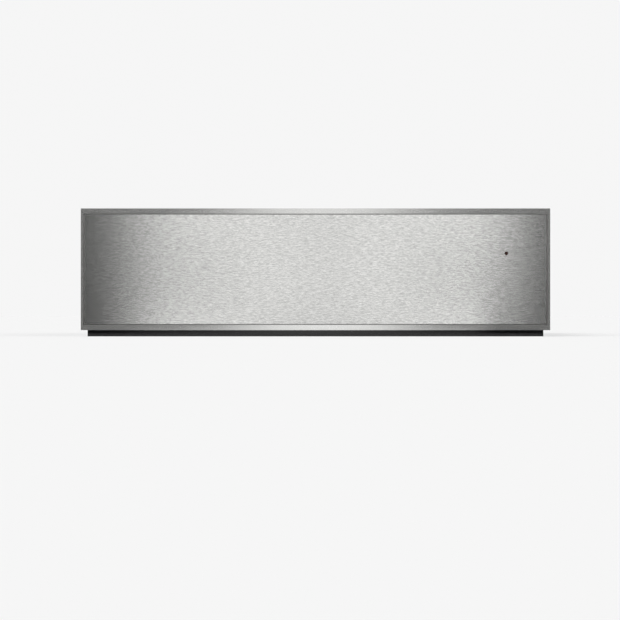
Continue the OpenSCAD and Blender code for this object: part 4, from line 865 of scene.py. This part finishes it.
def light_panel(name, levels, strength):
    """A glow with a level for each of the places, fanned out from the front as the mirrored rays are."""
    material, tree = start_material(name)
    tree.nodes.clear()
    place = place_in_object(tree)
    # A ray that leaves the front at x meets this point at x + (x - eye.x) * fan.
    fan = add(tree, "ShaderNodeMath", {
        0: place["Y"], 1: -1 / camera_distance, 2: front_plane / camera_distance}, operation="MULTIPLY_ADD")
    moved = add(tree, "ShaderNodeMath", {0: fan, 1: eye.x, 2: place["X"]}, operation="MULTIPLY_ADD")
    widened = add(tree, "ShaderNodeMath", {0: fan, 1: 1.0}, operation="ADD")
    on_front = add(tree, "ShaderNodeMath", {0: moved, 1: widened}, operation="DIVIDE")
    share = add(tree, "ShaderNodeMapRange", {
        "Value": on_front, "From Min": PLACES[0], "From Max": PLACES[-1]})
    curve = add(tree, "ShaderNodeFloatCurve", {"Value": share})
    points = curve.mapping.curves[0].points
    top = max(levels)
    for i in range(1, len(levels) - 1):
        points.new(i / (len(levels) - 1), levels[i] / top)
    points[0].location, points[-1].location = (0, levels[0] / top), (1, levels[-1] / top)
    curve.mapping.update()
    bright = add(tree, "ShaderNodeMath", {0: curve, 1: strength * top}, operation="MULTIPLY")
    add(tree, "ShaderNodeOutputMaterial", {"Surface": add(tree, "ShaderNodeEmission", {"Strength": bright})})
    return material


# Places on the front, in metres from its middle, at steps of 2 cm from end to end.
PLACES = [i * 0.02 for i in range(-18, 19)]
MIDDLE = ((-0.165, -0.03), (0.05, 0.175))                   # where the rim is bright
SIDES = ((-0.285, -0.17), (0.24, 0.27))                     # where the plate is bright
NEAR_SIDES = ((-0.285, -0.165), (0.185, 0.235))             # where it is bright beside the floor
in_middle = [plateau(x, *MIDDLE) for x in PLACES]
narrow_levels = [0.08 + 1.02 * m for m in in_middle]
high_levels = [3.5 * plateau(x, *SIDES) - 2.7 * m for x, m in zip(PLACES, in_middle)]
near_levels = [0.95 * plateau(x, *NEAR_SIDES) + 0.05 * m for x, m in zip(PLACES, in_middle)]

LEVEL = 0.87                              # of all panels
high = light_panel("studio_panel_high", high_levels, LEVEL)
near = light_panel("studio_panel_near", near_levels, LEVEL)
narrow = light_panel("studio_panel_narrow", narrow_levels, LEVEL)
far = light_panel("studio_panel_far", narrow_levels, 1.2 * LEVEL)
BEHIND = -5.3                             # the upright panels, behind the camera
GROUND = 0.003                            # just above the floor
for name, material, half, ys, zs in (("panel_high", high, 0.7, (BEHIND, BEHIND), (0.56, 10.0)),
                                     ("panel_low", narrow, 0.7, (BEHIND, BEHIND), (GROUND, 0.56)),
                                     ("panel_far", far, 0.5, (BEHIND, -0.6), (GROUND, GROUND)),
                                     ("panel_near", near, 0.36, (-0.6, -0.3), (GROUND, GROUND))):
    xs = [half * (1 + (front_plane - y) / camera_distance) for y in ys]      # fanned out as well
    panel = stage_plane(name, [(-xs[0], ys[0], zs[0]), (xs[0], ys[0], zs[0]), (xs[1], ys[1], zs[1]),
                               (-xs[1], ys[1], zs[1])], material)
    # Nothing but a mirror sees a panel, and it casts no shadow.
    panel.visible_camera = panel.visible_diffuse = panel.visible_shadow = False
print("panels: high, low, far and near")

# %% Lamps
def soft_sun(name, place, strength, angle):
    """Even light from the direction of the place, as soft as the angle in degrees is wide."""
    lamp_data = bpy.data.lights.new(name, "SUN")
    lamp_data.energy = strength
    lamp_data.angle = math.radians(angle)
    lamp = put_in_scene(name, lamp_data)
    lamp.location = place
    lamp.rotation_euler = Vector(place).to_track_quat("Z", "Y").to_euler()
    lamp.visible_glossy = False


# Far lights, so that the floor is as bright at the horizon as it is before the drawer.
soft_sun("key_soft_sun", (-2.2, -2.6, 3.6), 1.9, 35)
soft_sun("fill_soft_sun", (3.0, -2.0, 2.6), 0.8, 35)

# %% World
world = bpy.data.worlds.new("studio_world")
bpy.context.scene.world = world
world.use_nodes = True
sky = world.node_tree
sky.nodes.clear()
# What looks straight at the world sees it brighter than what it lights.
path = add(sky, "ShaderNodeLightPath").outputs
mirrored = add(sky, "ShaderNodeMath", {0: path["Is Glossy Ray"], 1: path["Is Transmission Ray"]},
               operation="MAXIMUM")
seen = add(sky, "ShaderNodeMath", {0: path["Is Camera Ray"], 1: mirrored}, operation="MAXIMUM")
level = add(sky, "ShaderNodeMapRange", {"Value": seen, "To Min": 0.55, "To Max": 0.92})
pale = add(sky, "ShaderNodeBackground", {"Color": (1, 1, 1, 1), "Strength": level})
add(sky, "ShaderNodeOutputWorld", {"Surface": pale})
print("world:", world.name)
